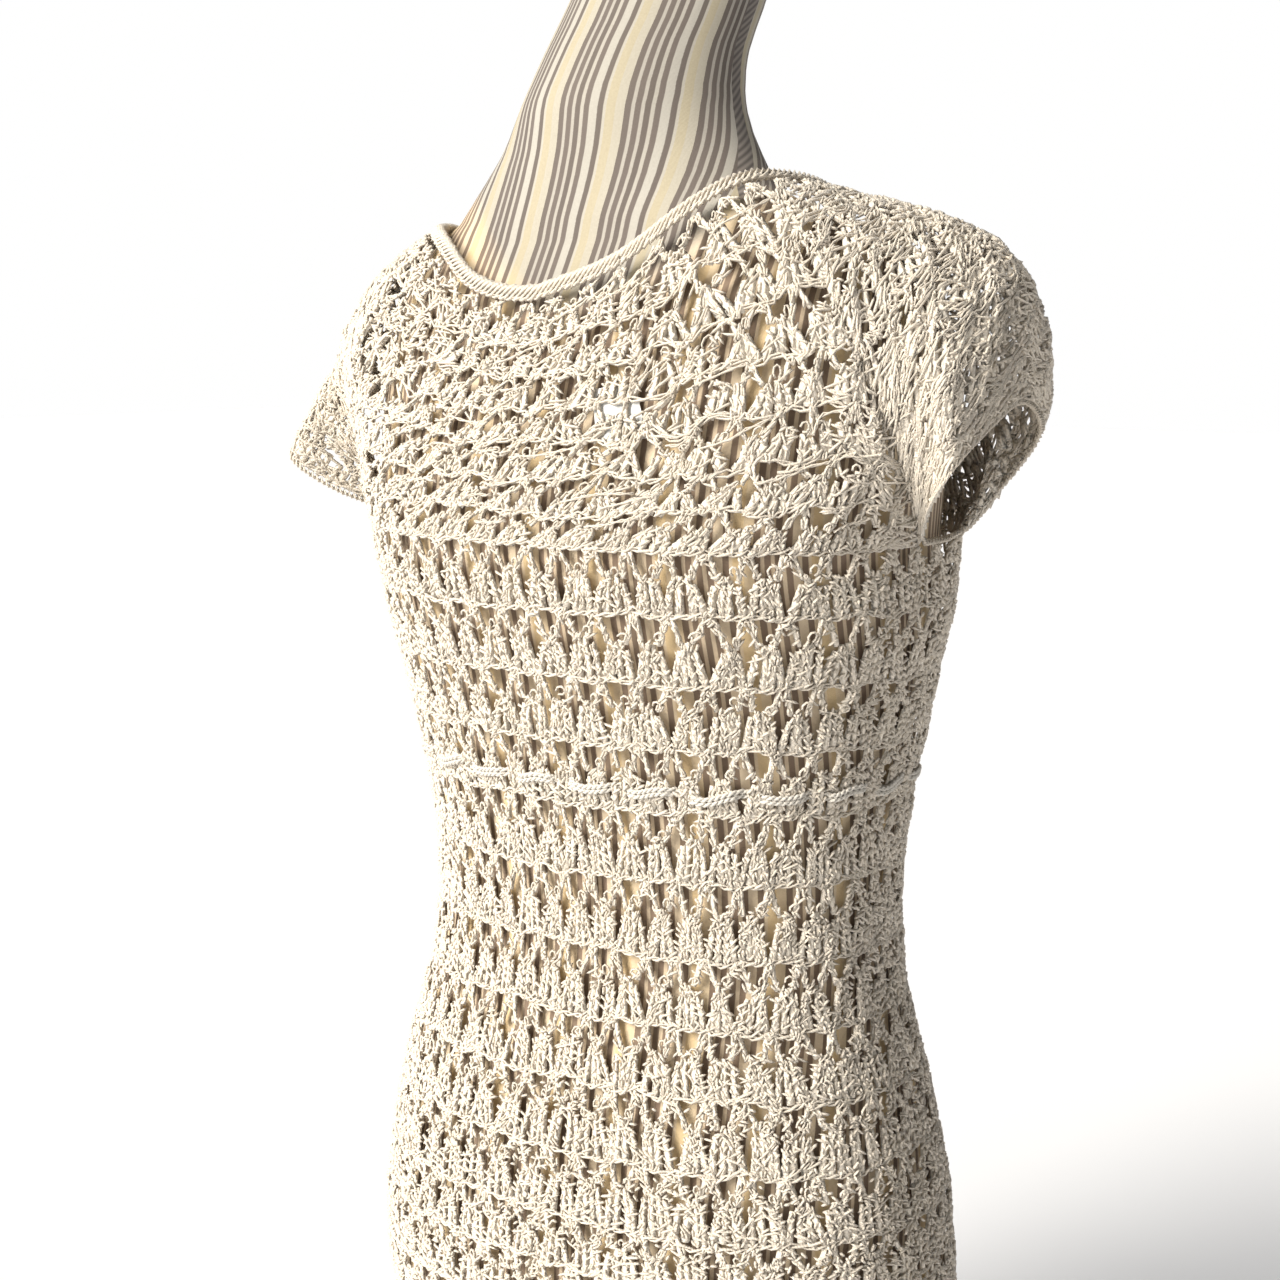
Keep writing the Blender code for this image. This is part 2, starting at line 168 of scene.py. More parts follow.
def hermite(knots, values, at):
    # a smooth line through the rows of a table
    knots, values, at = np.asarray(knots, float), np.asarray(values, float), np.asarray(at, float)
    slopes = np.gradient(values, knots, axis=0)
    i = np.clip(np.searchsorted(knots, at, side="right") - 1, 0, len(knots) - 2)
    span = knots[i + 1] - knots[i]
    t = (at - knots[i]) / span   # share of the way from one knot to the next
    shape = (slice(None),) * at.ndim + (None,) * (values.ndim - 1)
    t, span = t[shape], span[shape]
    start, leave = 2 * t**3 - 3 * t**2 + 1, (t**3 - 2 * t**2 + t) * span
    end, arrive = -2 * t**3 + 3 * t**2, (t**3 - t**2) * span
    return start * values[i] + leave * slopes[i] + end * values[i + 1] + arrive * slopes[i + 1]


def unit(vectors):
    return vectors / np.linalg.norm(vectors, axis=-1, keepdims=True)


def ease(value, start, full):
    # 0 at the start and 1 where it is full, whichever of the two is larger
    return np.clip((value - start) / (full - start), 0, 1)


def outline(half, behind, front, square, sides):
    # a section from the middle of the back round by the wearer's left, with the mm run along it
    sweep = np.linspace(0, turn, sides + 1)
    sin, cos = np.sin(sweep), np.cos(sweep)
    x = half * np.sign(sin) * np.abs(sin) ** (2 / square)
    y = np.sign(cos) * np.abs(cos) ** (2 / square) * np.where(cos > 0, behind, front)
    return x, y, np.concatenate([[0], np.cumsum(np.hypot(np.diff(x), np.diff(y)))])


def bodySection(height):
    # gives the place of each column at this height
    table = np.array(top["bodySections"][::-1], float)
    x, y, run = outline(*hermite(table[:, 0], table[:, 1:], height), 720)

    def place(column):
        at = np.mod(column, top["bodyColumns"]) / top["bodyColumns"] * run[-1]
        return np.stack([np.interp(at, run, x), np.interp(at, run, y)], -1)

    return place


def mirrored(table):
    # the left half of the yoke's table, with the right half on both sides of it
    table = np.array(table, float)
    flip = table.copy()
    flip[:, 1::3] *= -1
    before, after = flip.copy(), flip.copy()
    before[:, 0] *= -1
    after[:, 0] = top["yokeColumns"] - after[:, 0]
    rows = np.vstack([before, table, after])
    rows = rows[np.argsort(rows[:, 0], kind="stable")]
    return rows[np.concatenate([[True], np.diff(rows[:, 0]) > 1e-6])]


def yokeEdge(columns):
    # the yoke's outer edge: the sleeve edges, and between them the body's first chain line
    section = bodySection(top["underarm"])
    rows = np.array(top["sleeveEdge"], float)
    joins = top["backJoin"], top["frontJoin"]
    ends = [np.append(section(c), top["underarm"]) for c in (joins[0], joins[1] - top["sleeveSpare"])]
    knots = np.concatenate([[joins[0]], rows[:, 0], [joins[1]]])
    path = np.vstack([ends[0], rows[:, 1:], ends[1]])
    points = []
    for column in columns:
        side = 1 if column <= top["yokeColumns"] / 2 else -1
        at = column if side > 0 else top["yokeColumns"] - column
        if joins[0] < at < joins[1]:
            x, y, z = hermite(knots, path, at)
        else:
            x, y = section(at if at <= joins[0] else at - top["sleeveSpare"])
            z = top["underarm"]
        points.append((side * x, y, z))
    return np.array(points)


def yokePoints(columns, shares):
    # each column falls in a bow from the neckline to the outer edge
    neck, fall = mirrored(top["neckline"]), mirrored(top["yokeFall"])
    start = hermite(neck[:, 0], neck[:, 1:], columns)
    pull = hermite(fall[:, 0], fall[:, 1:], columns)
    edge = yokeEdge(columns)
    t = np.linspace(0, 1, 41)[:, None, None]
    p0, p1, p2 = start[:, :3], start[:, :3] + start[:, 3:], edge + pull
    curve = (1 - t) ** 3 * p0 + 3 * t * (1 - t) ** 2 * p1 + 3 * t**2 * (1 - t) * p2 + t**3 * edge
    steps = np.linalg.norm(np.diff(curve, axis=0), axis=2)
    run = np.vstack([np.zeros(len(columns)), np.cumsum(steps, axis=0)])
    run /= run[-1]
    rings = np.empty((len(shares), len(columns), 3))
    for k in range(len(columns)):
        for axis in range(3):
            rings[:, k, axis] = np.interp(shares, run[:, k], curve[:, k, axis])
    nearNeck = (1 - shares[:, None]) ** 2
    tilt = top["tilt"] * np.clip(rings[..., 0], -top["tiltReach"], top["tiltReach"]) * nearNeck
    rings[..., 0] += top["slip"] * nearNeck
    rings[..., 2] -= tilt
    table = np.array(top["leftFlare"], float)
    nearEdge = ease(shares, top["flareStart"], 1) ** top["flarePower"]
    flare = hermite(table[:, 0], table[:, 1:], np.clip(columns, table[0, 0], table[-1, 0]))
    return rings + nearEdge[:, None, None] * flare


wobble = {
    "waves": 26,
    "slant": 0.16,    # radians that a wave turns in a mm down the cloth, at most
    "around": 0.85,   # mm each stitch strays round the body, down it and out of it
    "down": 0.75,
    "out": 0.30,
    "column": 18,     # mm round the body in a column
    "edge": 25,       # mm from a worked edge within which stitches stray less, and how much they stray at it
    "atEdge": 0.35,
    "yokeTimes": 2.0,
    "yokeSwirl": 4.5,
    "seed": 4,
}


class Cloth:
    # one stretch of cloth, looked up by column and place; a place is counted down from its top
    def __init__(self, points, columns, places, length, seed, stray=1.0, swirl=0.0):
        self.points, self.columns, self.places = points, columns, places
        self.length = length   # mm that one whole place stands for
        self.stray = stray
        self.swirl = swirl     # columns by which the top is drawn round, against the foot
        around = np.roll(points, -1, 1) - np.roll(points, 1, 1)
        self.normals = unit(np.cross(around, np.gradient(points, axis=0)))
        dice = np.random.default_rng(wobble["seed"] + seed)
        slant = wobble["slant"]
        self.waves = [
            (dice.integers(3, columns), dice.uniform(-slant, slant), dice.uniform(0, turn, 3))
            for _ in range(wobble["waves"])
        ]

    def look(self, grid, column, place):
        count = grid.shape[1]
        x = np.mod(column, self.columns) * count / self.columns
        i = np.floor(x).astype(int)
        fx = (x - i)[..., None]
        i, j = i % count, (i + 1) % count
        y = np.interp(place, self.places, np.arange(len(self.places)))
        k = np.clip(np.floor(y).astype(int), 0, len(self.places) - 2)
        fy = (y - k)[..., None]
        upper = grid[k, i] * (1 - fx) + grid[k, j] * fx
        lower = grid[k + 1, i] * (1 - fx) + grid[k + 1, j] * fx
        return upper * (1 - fy) + lower * fy

    def at(self, column, place, out, stray=1.0):
        column, place, out = np.broadcast_arrays(np.asarray(column, float), place, out)
        shift = np.zeros(column.shape + (3,))
        for around, down, phase in self.waves:
            angle = around * turn * column / self.columns + down * place * self.length
            shift += np.sin(angle[..., None] + phase)
        # stitches keep close to the worked edges at both ends
        span = self.places[-1] - self.places[0]
        away = np.minimum(place - self.places[0], self.places[-1] - place) * self.length
        loose = wobble["atEdge"] + (1 - wobble["atEdge"]) * ease(away, 0, wobble["edge"])
        shift *= (stray * self.stray * loose * math.sqrt(2 / wobble["waves"]))[..., None]
        drawn = self.swirl * (1 - place / span)
        column = column + shift[..., 0] * wobble["around"] / wobble["column"] - drawn
        place = place + shift[..., 1] * wobble["down"] / self.length
        normal = unit(self.look(self.normals, column, place))
        lift = out + shift[..., 2] * wobble["out"]
        return self.look(self.points, column, place) + normal * lift[..., None], normal

    def width(self, column, place):
        # mm round the cloth in the column whose middle is here
        ahead = self.look(self.points, column + 0.5, place)
        behind = self.look(self.points, column - 0.5, place)
        return np.linalg.norm(ahead - behind, axis=-1)


def makeCloths():
    depths = np.arange(0, top["underarm"] - top["hem"] + 1.5 * top["bodyStep"], top["bodyStep"])
    columns = np.arange(0, top["bodyColumns"], 1 / top["bodyFine"])
    rings = []
    for depth in depths:
        flat = bodySection(top["underarm"] - depth)(columns)
        rings.append(np.column_stack([flat, np.full(len(flat), top["underarm"] - depth)]))
    body = Cloth(np.array(rings), top["bodyColumns"], depths, 1.0, 1)
    shares = np.linspace(0, 1, top["yokeRings"])
    rings = yokePoints(np.arange(0, top["yokeColumns"], 1 / top["yokeFine"]), shares)
    length = np.linalg.norm(np.diff(rings, axis=0), axis=2).sum(axis=0).mean()
    return body, Cloth(rings, top["yokeColumns"], shares, length, 2, wobble["yokeTimes"], wobble["yokeSwirl"])


bodyCloth, yokeCloth = makeCloths()
print("cloth laid out, yoke depth", round(yokeCloth.length), "mm")

# shader helpers


class Value:
    # a shader socket that can stand in a sum
    def __init__(self, nodes, socket):
        self.nodes, self.socket = nodes, socket

    def maths(self, operation, *terms):
        return self.nodes.node("ShaderNodeMath", {"operation": operation}, dict(enumerate(terms)))

    def __add__(self, other):
        return self.maths("ADD", self, other)

    def __radd__(self, other):
        return self.maths("ADD", other, self)

    def __sub__(self, other):
        return self.maths("SUBTRACT", self, other)

    def __rsub__(self, other):
        return self.maths("SUBTRACT", other, self)

    def __mul__(self, other):
        return self.maths("MULTIPLY", self, other)

    def __rmul__(self, other):
        return self.maths("MULTIPLY", other, self)

    def sine(self):
        return self.maths("SINE", self)

    def fraction(self):
        return self.maths("FRACT", self)

    def within(self, middle, reach):
        return self.maths("COMPARE", self, middle, reach)


class Nodes:
    # the nodes of a finish or of the world behind it, which all come from node()
    def __init__(self, tree):
        self.tree = tree

    def plug(self, socket, value):
        if isinstance(value, Value):
            self.tree.links.new(value.socket, socket)
        else:
            socket.default_value = (*value, 1) if socket.type == "RGBA" else value

    def node(self, kind, settings=None, values=None, output=0):
        node = self.tree.nodes.new(kind)
        for name, value in (settings or {}).items():
            if name == "stops":
                ramp = node.color_ramp
                while len(ramp.elements) < len(value):
                    ramp.elements.new(1)
                for element, (place, colour) in zip(ramp.elements, value):
                    element.position, element.color = place, (*colour, 1)
            else:
                setattr(node, name, value)
        for socket, value in (values or {}).items():
            self.plug(node.inputs[socket], value)
        return Value(self, node.outputs[output])

    def places(self, scale=None):
        places = self.node("ShaderNodeTexCoord", output="Object")
        return self.node("ShaderNodeMapping", {}, {"Vector": places, "Scale": scale}) if scale else places

    def axis(self, vector, index):
        return self.node("ShaderNodeSeparateXYZ", {}, {0: vector}, index)

    def noise(self, scale, detail=2, vector=None):
        values = {"Vector": vector or self.places(), "Scale": scale, "Detail": detail}
        return self.node("ShaderNodeTexNoise", {}, values, "Fac")

    def mix(self, amount, first, second, blend="MIX"):
        settings = {"data_type": "RGBA", "blend_type": blend}
        return self.node("ShaderNodeMix", settings, {0: amount, 6: first, 7: second}, 2)


class Finish(Nodes):
    # one material
    def __init__(self, name, colour, roughness, **settings):
        self.material = bpy.data.materials.new(name)
        self.material.use_nodes = True
        self.material.diffuse_color = (*colour, 1)
        super().__init__(self.material.node_tree)
        self.shader = self.tree.nodes["Principled BSDF"]
        self.set("Base Color", colour)
        self.set("Roughness", roughness)
        for socket, value in settings.items():
            self.set(socket.replace("_", " "), value)

    def set(self, socket, value):
        self.plug(self.shader.inputs[socket], value)

    def bump(self, height, strength, distance):
        values = {"Height": height, "Strength": strength, "Distance": distance}
        self.set("Normal", self.node("ShaderNodeBump", {}, values))


cottons = {
    # two tones that drift into each other
    "ecru": ((0.70, 0.635, 0.55), (0.64, 0.57, 0.47)),
    # the packed yarn's first tone is painted lighter than the loops, painted light in the crevices; its
    # second is painted shade in the hollows
    "packed": ((0.86, 0.80, 0.70), (0.74, 0.66, 0.55)),
    "cord": ((0.65, 0.62, 0.56), (0.61, 0.56, 0.49)),
    "patches": 28,      # noise scale of the tones
    "plyLength": 1.7,   # mm of yarn in one turn of its plies
    "plyShadeDepth": 0.35,   # how far painted shade darkens the grooves between them
    "plyShadeDark": 0.80,
    "cells": 520,       # noise scale of the loops in packed yarn
}


def yarnFinish(name, colour, shade):
    finish = Finish(name, colour, 0.9, Sheen_Weight=0.25, Sheen_Roughness=0.5, Specular_IOR_Level=0.25)
    run = finish.node("ShaderNodeUVMap", {"uv_map": "yarn"})
    along, around = finish.axis(run, 0), finish.axis(run, 1)
    ply = ((along * (turn / cottons["plyLength"]) + around * turn).sine() + 1) * 0.5
    tones = finish.mix(finish.noise(cottons["patches"], 3), colour, shade)
    # painted shade in the grooves between the plies, a darker copy of the second tone
    plyGrooveShade = tuple(c * cottons["plyShadeDark"] for c in shade)
    finish.set("Base Color", finish.mix((1 - ply) * cottons["plyShadeDepth"], tones, plyGrooveShade))
    finish.set("Roughness", 0.86 + finish.noise(300) * 0.12)
    finish.bump(ply + finish.noise(2600, 1) * 0.5, 0.5, 0.0003)
    return finish.material


def packedFinish(name, colour, hollowShade):
    # the same yarn packed together behind the loops, painted lighter than the loops as painted light in these
    # crevices, with painted shade in the hollows between its loops
    finish = Finish(name, colour, 0.95, Sheen_Weight=0.2, Specular_IOR_Level=0.2)
    values = {"Vector": finish.places(), "Scale": cottons["cells"], "Randomness": 0.9}
    cells = finish.node("ShaderNodeTexVoronoi", {}, values, "Distance")
    # painted shade darkens the hollows between the cells
    finish.set("Base Color", finish.mix(cells * 1.1, colour, hollowShade))
    finish.set("Roughness", 0.9 + finish.noise(300) * 0.08)
    finish.bump(1 - cells, 0.9, 0.0008)
    return finish.material


cotton = yarnFinish("ecruCotton", *cottons["ecru"])
packedCottonPaintedLight = packedFinish("packedCottonPaintedLight", *cottons["packed"])
paleCotton = yarnFinish("paleCord", *cottons["cord"])
print("yarn finishes made")

# yarn into mesh


class Yarn:
    # gathers strands, then makes them one mesh of closed tubes
    def __init__(self):
        self.batches = []

    def lay(self, points, normals, radius, sides=3, packed=False, pointed=False):
        # radius may be a pair, half width and half depth; a pointed strand closes at its first and last point
        wide, deep = radius if isinstance(radius, tuple) else (radius, radius)
        size = np.stack([np.broadcast_to(half, points.shape[:2]) for half in (wide, deep)], -1)
        self.batches.append((points, normals, size, sides, packed, pointed))

    def twine(self, points, normals, wide, deep, halfTurns, start, radius, sides=3):
        # two strands wound round each other along the path, each thicker where it lies outside
        across = unit(np.cross(np.gradient(points, axis=1), normals))
        share = np.linspace(0, 1, points.shape[1])[None]
        wide = np.broadcast_to(wide, points.shape[:2])[..., None]
        for half in (0, math.pi):
            angle = (start + half + math.pi * halfTurns * share)[..., None]
            strand = points + across * wide * np.cos(angle) + normals * deep * np.sin(angle)
            self.lay(strand, normals, radius * (1 + 0.15 * np.sin(angle[..., 0])), sides)

    def make(self, name, finish, slot, node):
        corners, quads, ends, runs = [], [], [], []
        kinds, endKinds, start = [], [], 0
        for points, normals, size, sides, packed, pointed in self.batches:
            count = len(points)
            along = unit(np.gradient(points, axis=1))
            side = unit(np.cross(along, normals))
            up = np.cross(side, along)
            sweep = math.pi / 2 + np.arange(sides) * turn / sides
            wide, deep = size[..., 0, None, None], size[..., 1, None, None]
            reach = wide * np.cos(sweep)[:, None] * side[:, :, None]
            reach = reach + deep * np.sin(sweep)[:, None] * up[:, :, None]
            ringed = slice(1, -1) if pointed else slice(None)
            rings = (points[:, :, None] + reach)[:, ringed]
            corners.append(rings.reshape(-1, 3))
            index = start + np.arange(rings.size // 3).reshape(rings.shape[:3])
            ahead = np.roll(index, -1, axis=2)
            start += index.size
            faces = np.stack([index[:, :-1], index[:, 1:], ahead[:, 1:], ahead[:, :-1]], -1).reshape(-1, 4)
            quads.append(faces)
            kinds.append(np.full(len(faces), int(packed)))
            endKinds.append(np.full(count * 2 * (sides if pointed else sides - 2), int(packed)))
            # the map counts mm along the strand and turns round it
            steps = np.linalg.norm(np.diff(points, axis=1), axis=2)
            run = np.concatenate([np.zeros((count, 1)), np.cumsum(steps, axis=1)], axis=1)[:, ringed]
            run = np.broadcast_to(run[:, :, None], index.shape)
            level = np.broadcast_to(np.arange(sides) / sides, index.shape)[:, :-1]
            u = np.stack([run[:, :-1], run[:, 1:], run[:, 1:], run[:, :-1]], -1)
            v = np.stack([level, level, level + 1 / sides, level + 1 / sides], -1)
            runs.append(np.stack([u, v], -1).reshape(-1, 2))
            if pointed:
                tips = start + np.arange(count * 2).reshape(count, 2)
                corners.append(points[:, [0, -1]].reshape(-1, 3))
                start += tips.size
                for corner in range(sides):
                    ends.append(np.stack([index[:, 0, corner], ahead[:, 0, corner], tips[:, 0]], -1))
                    ends.append(np.stack([ahead[:, -1, corner], index[:, -1, corner], tips[:, 1]], -1))
                continue
            for corner in range(1, sides - 1):
                fan = [0, corner, corner + 1]
                ends += [index[:, 0][:, fan], index[:, -1][:, fan[::-1]]]
        corners, quads, ends = np.vstack(corners), np.vstack(quads), np.vstack(ends)
        places = np.vstack(runs + [np.zeros((ends.size, 2))])
        kinds = np.concatenate(kinds + endKinds)
        return meshPiece(name, corners, quads, ends, places, "yarn", finish, node, kinds)


def meshPiece(name, corners, quads, triangles, places, mapName, finish, node, kinds=None):
    corners = (corners + (0, 0, top["waist"])) * mm
    mesh = bpy.data.meshes.new(name)
    mesh.vertices.add(len(corners))
    mesh.vertices.foreach_set("co", corners.ravel())
    loops = np.concatenate([quads.ravel(), triangles.ravel()]).astype(np.int32)
    mesh.loops.add(len(loops))
    mesh.loops.foreach_set("vertex_index", loops)
    mesh.polygons.add(len(quads) + len(triangles))
    starts = np.concatenate([np.arange(0, quads.size, 4), quads.size + np.arange(0, triangles.size, 3)])
    mesh.polygons.foreach_set("loop_start", starts.astype(np.int32))
    layer = mesh.uv_layers.new(name=mapName)
    layer.uv.foreach_set("vector", places.astype(np.float32).ravel())
    mesh.update(calc_edges=True)
    mesh.shade_smooth()
    mesh.materials.append(finish)
    if kinds is not None and kinds.any():
        mesh.materials.append(packedCottonPaintedLight)
        mesh.polygons.foreach_set("material_index", kinds.astype(np.int32))
    piece = bpy.data.objects.new(name, mesh)
    bpy.context.collection.objects.link(piece)
    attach(piece, "root")
    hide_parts(node)
    print(name, len(quads) * 2 + len(triangles), "triangles")
    return piece


# the stitch: a chain line, legs that fall from its joints, a picot loop and a shell

stitch = {
    "yarn": 0.95,
    "yarnTimes": (0.85, 1.15),   # thinnest and thickest strand
    "level": -0.85,       # the middle of the yarn, out from the form of the cloth
    "posts": 4,
    "rows": 5,            # loops one above another in a post, where a row is this many mm deep
    "rowDeep": 37,
    "shellTop": 0.37,     # where the shell begins, as a share of the row
    "topFan": 0.155,      # between posts at the top and at the chain line, in units
    "lineFan": 0.268,
    "dome": 0.055,        # how much lower the outer posts begin
    "postCore": 0.58,     # half width of the yarn packed behind a post, in posts
    "coreDeep": 0.8,
    "coreOut": -0.45,
    "loopOpen": 1.55,     # mm from the middle of a post to a strand where its loop is open
    "loopShut": 0.35,     # and where it closes
    "loopLong": 1.05,     # length of a strand, in rows
    "loopOut": 0.25,
    "loopBow": (-0.6, 0.4, 0.15, -0.5),   # mm out at the four points of a strand
    "loopTilt": 1.0,      # mm that the ends of a strand stray sideways
    "yokeTilt": 1.3,      # times as far in the yoke
    # short strands at the top of a shell, at a joint and, where the cloth is close, between them:
    # how many, units to each side, and the shares of the row from where and to where
    "knobs": (5, 0.27, -0.03, 0.14),
    "jointKnobs": (3, 0.07, 0.03, 0.17),
    "fillKnobs": (13, 0.45, 0.10, 0.12),
    "knobLong": (1.8, 2.8),   # mm from the middle of a knob to each end
    "knobLean": 1.4,
    "knobOut": 0.65,
    "knobBow": (-0.6, 0.3, 0.3, -0.6),
    "legStart": 0.075,    # from the joint to the middle of a leg, in units, at its top and foot
    "legReach": 0.25,
    "legFoot": 0.05,      # share of the row that it goes on past the top of the shell
    "legLong": 9.0,       # mm of leg to a loop
    "legCore": (1.5, 0.8),
    "legOut": -0.35,
    "legOver": 0.2,       # mm that the left leg lies over the right one
    "picotSize": (2.1, 2.7),   # mm from the middle of the loop to its yarn, across and along
    "picotTimes": (0.85, 1.2),
    "picotYarn": 0.78,
    "picotPlace": (0.30, -0.07),   # units from the joint and share of the row from the top of the shell
    "picotRow": 36,       # mm of row in which it has its full size
    "picotTurn": 150,     # degrees of it on each side of its tip
    "picotTip": 28,
    "chainWide": 1.05,
    "chainDeep": 0.55,
    "chainTurns": 2.9,    # half turns in a unit
    "chainOut": 0.05,     # mm that the chain line stands out over the shells
    "eye": 1.0,           # mm that the chain opens further round each joint, and for how many units
    "eyeLong": 0.12,
    "sag": 1.1,
    "slack": 1.2,         # mm that the chain line rises and falls from joint to joint
    "strays": 0.4,        # share of the units in the yoke that a loose strand crosses
    "strayReach": (0.7, 1.8),   # units across and share of the row down
    "strayFall": (0.1, 0.45),
    "strayTop": (-0.1, 0.5),
    "strayOut": 1.3,
    "strayYarn": 0.62,
}

# how the stitch changes where the cloth is worked close, for a closeness of 1
shutting = {
    "tilt": 2.5,
    "long": 0.25,
    "top": 0.06,          # how much sooner and wider the shell begins
    "fan": 0.045,
    "leg": 0.11,          # units that a leg widens, and how much its core does
    "legCore": 0.7,
    "fillFrom": 0.45,     # closeness from which short strands fill the windows
    "sleeve": (8, 12, 27, 30),   # columns of the yoke from the middle of the back, where it comes and goes
    "sleeveEdge": 1.8,    # times closer still along the sleeve edges, from this share of the yoke's depth
    "edgeFrom": 0.7,
    "neck": 0.5,
    "body": (0.25, 0.80),   # at the waist and at the hem, and the mm below the underarm between them
    "hips": (270, 410),
    "side": 0.55,
    "sideColumns": (11.5, 2.5, 4.5),   # middle of the side, and columns from it to where it fades and ends
}

# how much one stitch differs from the next, in units, shares of a row or of a loop, and mm
uneven = {
    "shellTop": 0.02,
    "shellLean": 0.05,
    "postSway": 0.020,
    "postShift": 0.03,
    "postStart": 0.12,
    "coreOut": 0.15,
    "loopPlace": 0.02,
    "loopAside": 0.3,
    "loopOut": 0.3,
    "loopPitch": 0.25,
    "knobOut": 0.25,
    "legReach": 0.03,
    "legShift": 0.015,
    "legStart": 0.10,
    "picotTip": 0.4,
    "picotAside": 0.05,
    "picotRise": 0.02,
    "picotOut": 0.2,
}


def closeness(cloth, columns, depth):
    # 1 where the cloth is worked close, at the sleeves, under the arms and over the hips
    fromBack = np.minimum(columns, cloth.columns - columns)
    if cloth is yokeCloth:
        comes, full, fades, ends = shutting["sleeve"]
        sleeve = ease(fromBack, comes, full) * ease(fromBack, ends, fades)
        times = shutting["sleeveEdge"] if depth > shutting["edgeFrom"] else 1
        return np.maximum(shutting["neck"] * (1 - depth), sleeve * times)
    middle, full, none = shutting["sideColumns"]
    waist, hem = shutting["body"]
    low = waist + (hem - waist) * ease(depth, *shutting["hips"])
    return np.maximum(low, shutting["side"] * ease(np.abs(fromBack - middle), none, full))


def workRound(shells, loops, cloth, count, upper, lower, dice):
    # one round of shells hung from the chain line above, closed by its own chain line
    wide = cloth.columns / count
    deep = lower - upper
    depth = deep * cloth.length
    joints = np.arange(count)[:, None].astype(float)
    unitWidth = cloth.width(np.arange(count) * wide, (upper + lower) / 2)[:, None] * wide
    ends = np.array([[-1.0, -0.55, 0.55, 1.0]])   # the four points of a short strand
    inYoke = cloth is yokeCloth

    def strand(yarn, u, s, out, size, only=slice(None), **how):
        # one in each unit, by the units round the cloth, the share of the row and the mm out
        points, normals = cloth.at(u * wide, upper + deep * s, stitch["level"] + out)
        yarn.lay(points[only], normals[only], size, **how)

    def spread(what):
        return dice.normal(0, uneven[what], (count, 1))

    def between(low, high):
        return dice.uniform(low, high, (count, 1))

    drawn = cloth.swirl * (1 - (upper + lower) / 2 / (cloth.places[-1] - cloth.places[0]))
    shut = closeness(cloth, np.mod((joints + 0.5) * wide - drawn, cloth.columns), lower)
    tilt = stitch["loopTilt"] * (stitch["yokeTilt"] if inYoke else 1)
    tilt = tilt * (1 + shutting["tilt"] * np.minimum(shut, 1))
    long = stitch["loopLong"] * (1 - shutting["long"] * np.minimum(shut, 1))
    shellTop = stitch["shellTop"] - shutting["top"] * shut + spread("shellTop")
    lean = spread("shellLean")

    def loop(yarn, path, low, high, out):
        # the two strands of one loop, open at its top and shut at its foot
        wideTop, wideFoot = stitch["loopOpen"], stitch["loopShut"]
        for side in (-1, 1):
            u, s = path((low + high) / 2 + spread("loopPlace") + (high - low) / 2 * long * ends)
            away = side * (wideTop + (wideFoot - wideTop) * (ends + 1) / 2)
            away = away + ends * dice.normal(0, tilt, (count, 1)) + spread("loopAside")
            lift = np.array([stitch["loopBow"]]) + spread("loopOut") + ends * spread("loopPitch")
            size = stitch["yarn"] * between(*stitch["yarnTimes"])
            strand(yarn, u + away / unitWidth, s, out + lift, size, pointed=True)

    def knob(middle, side, start, end, only=slice(None)):
        # a short strand at any angle, within so much to each side and from start to end
        way, size = between(-stitch["knobLean"], stitch["knobLean"]), between(*stitch["knobLong"]) * ends
        u = middle + between(-side, side) + size * np.cos(way) / unitWidth
        s = between(0, 1) * (end - start) + start + size * np.sin(way) / depth
        out = stitch["knobOut"] + spread("knobOut") + np.array([stitch["knobBow"]])
        strand(loops, u, s, out, stitch["yarn"], only, pointed=True)

    # posts of the shell, each a chain of loops over packed yarn
    topFan, lineFan = stitch["topFan"], stitch["lineFan"]
    rows = max(3, round(stitch["rows"] * depth / stitch["rowDeep"]))
    for k in range(stitch["posts"]):
        place = k - (stitch["posts"] - 1) / 2
        sway, shift = spread("postSway"), spread("postShift")

        def post(t, place=place, sway=sway, shift=shift):
            clipped = np.clip(t, 0, 1.1)
            fan = topFan + shutting["fan"] * shut * (1 - clipped) + (lineFan - topFan) * clipped
            low = stitch["dome"] * place**2 * (1 - clipped)
            u = joints + 0.5 + lean * (1 - t) + place * fan + sway + shift * t
            return u, shellTop + low + (1 - shellTop) * t

        u, s = post(np.array([[0.02, 0.5, 1.0]]))
        core = stitch["postCore"] * np.array([[topFan, (topFan + lineFan) / 2, lineFan]]) * unitWidth
        strand(shells, u, s, stitch["coreOut"] + spread("coreOut"), (core, stitch["coreDeep"]), packed=True)
        for row in range(rows):
            begin = (row + 0.5 * (k % 2) - 0.25 + spread("postStart")) / rows
            loop(shells, post, begin, begin + 1 / rows, stitch["loopOut"])
    number, side, start, end = stitch["knobs"]
    for _ in range(number):
        knob(joints + 0.5 + lean, side, shellTop + start, shellTop + end)
    number, side, start, end = stitch["jointKnobs"]
    for _ in range(number):
        knob(joints, side, start, end)
    number, side, start, end = stitch["fillKnobs"]
    filled = np.flatnonzero(shut[:, 0] > shutting["fillFrom"])
    for _ in range(number):
        knob(joints, side, start, shellTop + end, filled)

    # legs from each joint down to the two shells beside it
    coreWide, coreDeep = stitch["legCore"]
    legRows = max(2, round(depth * (stitch["shellTop"] + 0.3) / stitch["legLong"]))
    for side in (-1, 1):
        beside = 0 if side > 0 else 1
        drop = np.roll(shellTop, beside, axis=0) + stitch["legFoot"]
        reach = stitch["legReach"] + np.roll(lean, beside, axis=0) * side + spread("legReach")
        shift = spread("legShift")

        def leg(t, side=side, drop=drop, reach=reach, shift=shift):
            away = stitch["legStart"] + (reach - stitch["legStart"]) * np.clip(t, 0, 1.1) ** 1.2
            return joints + side * away + shift, drop * t

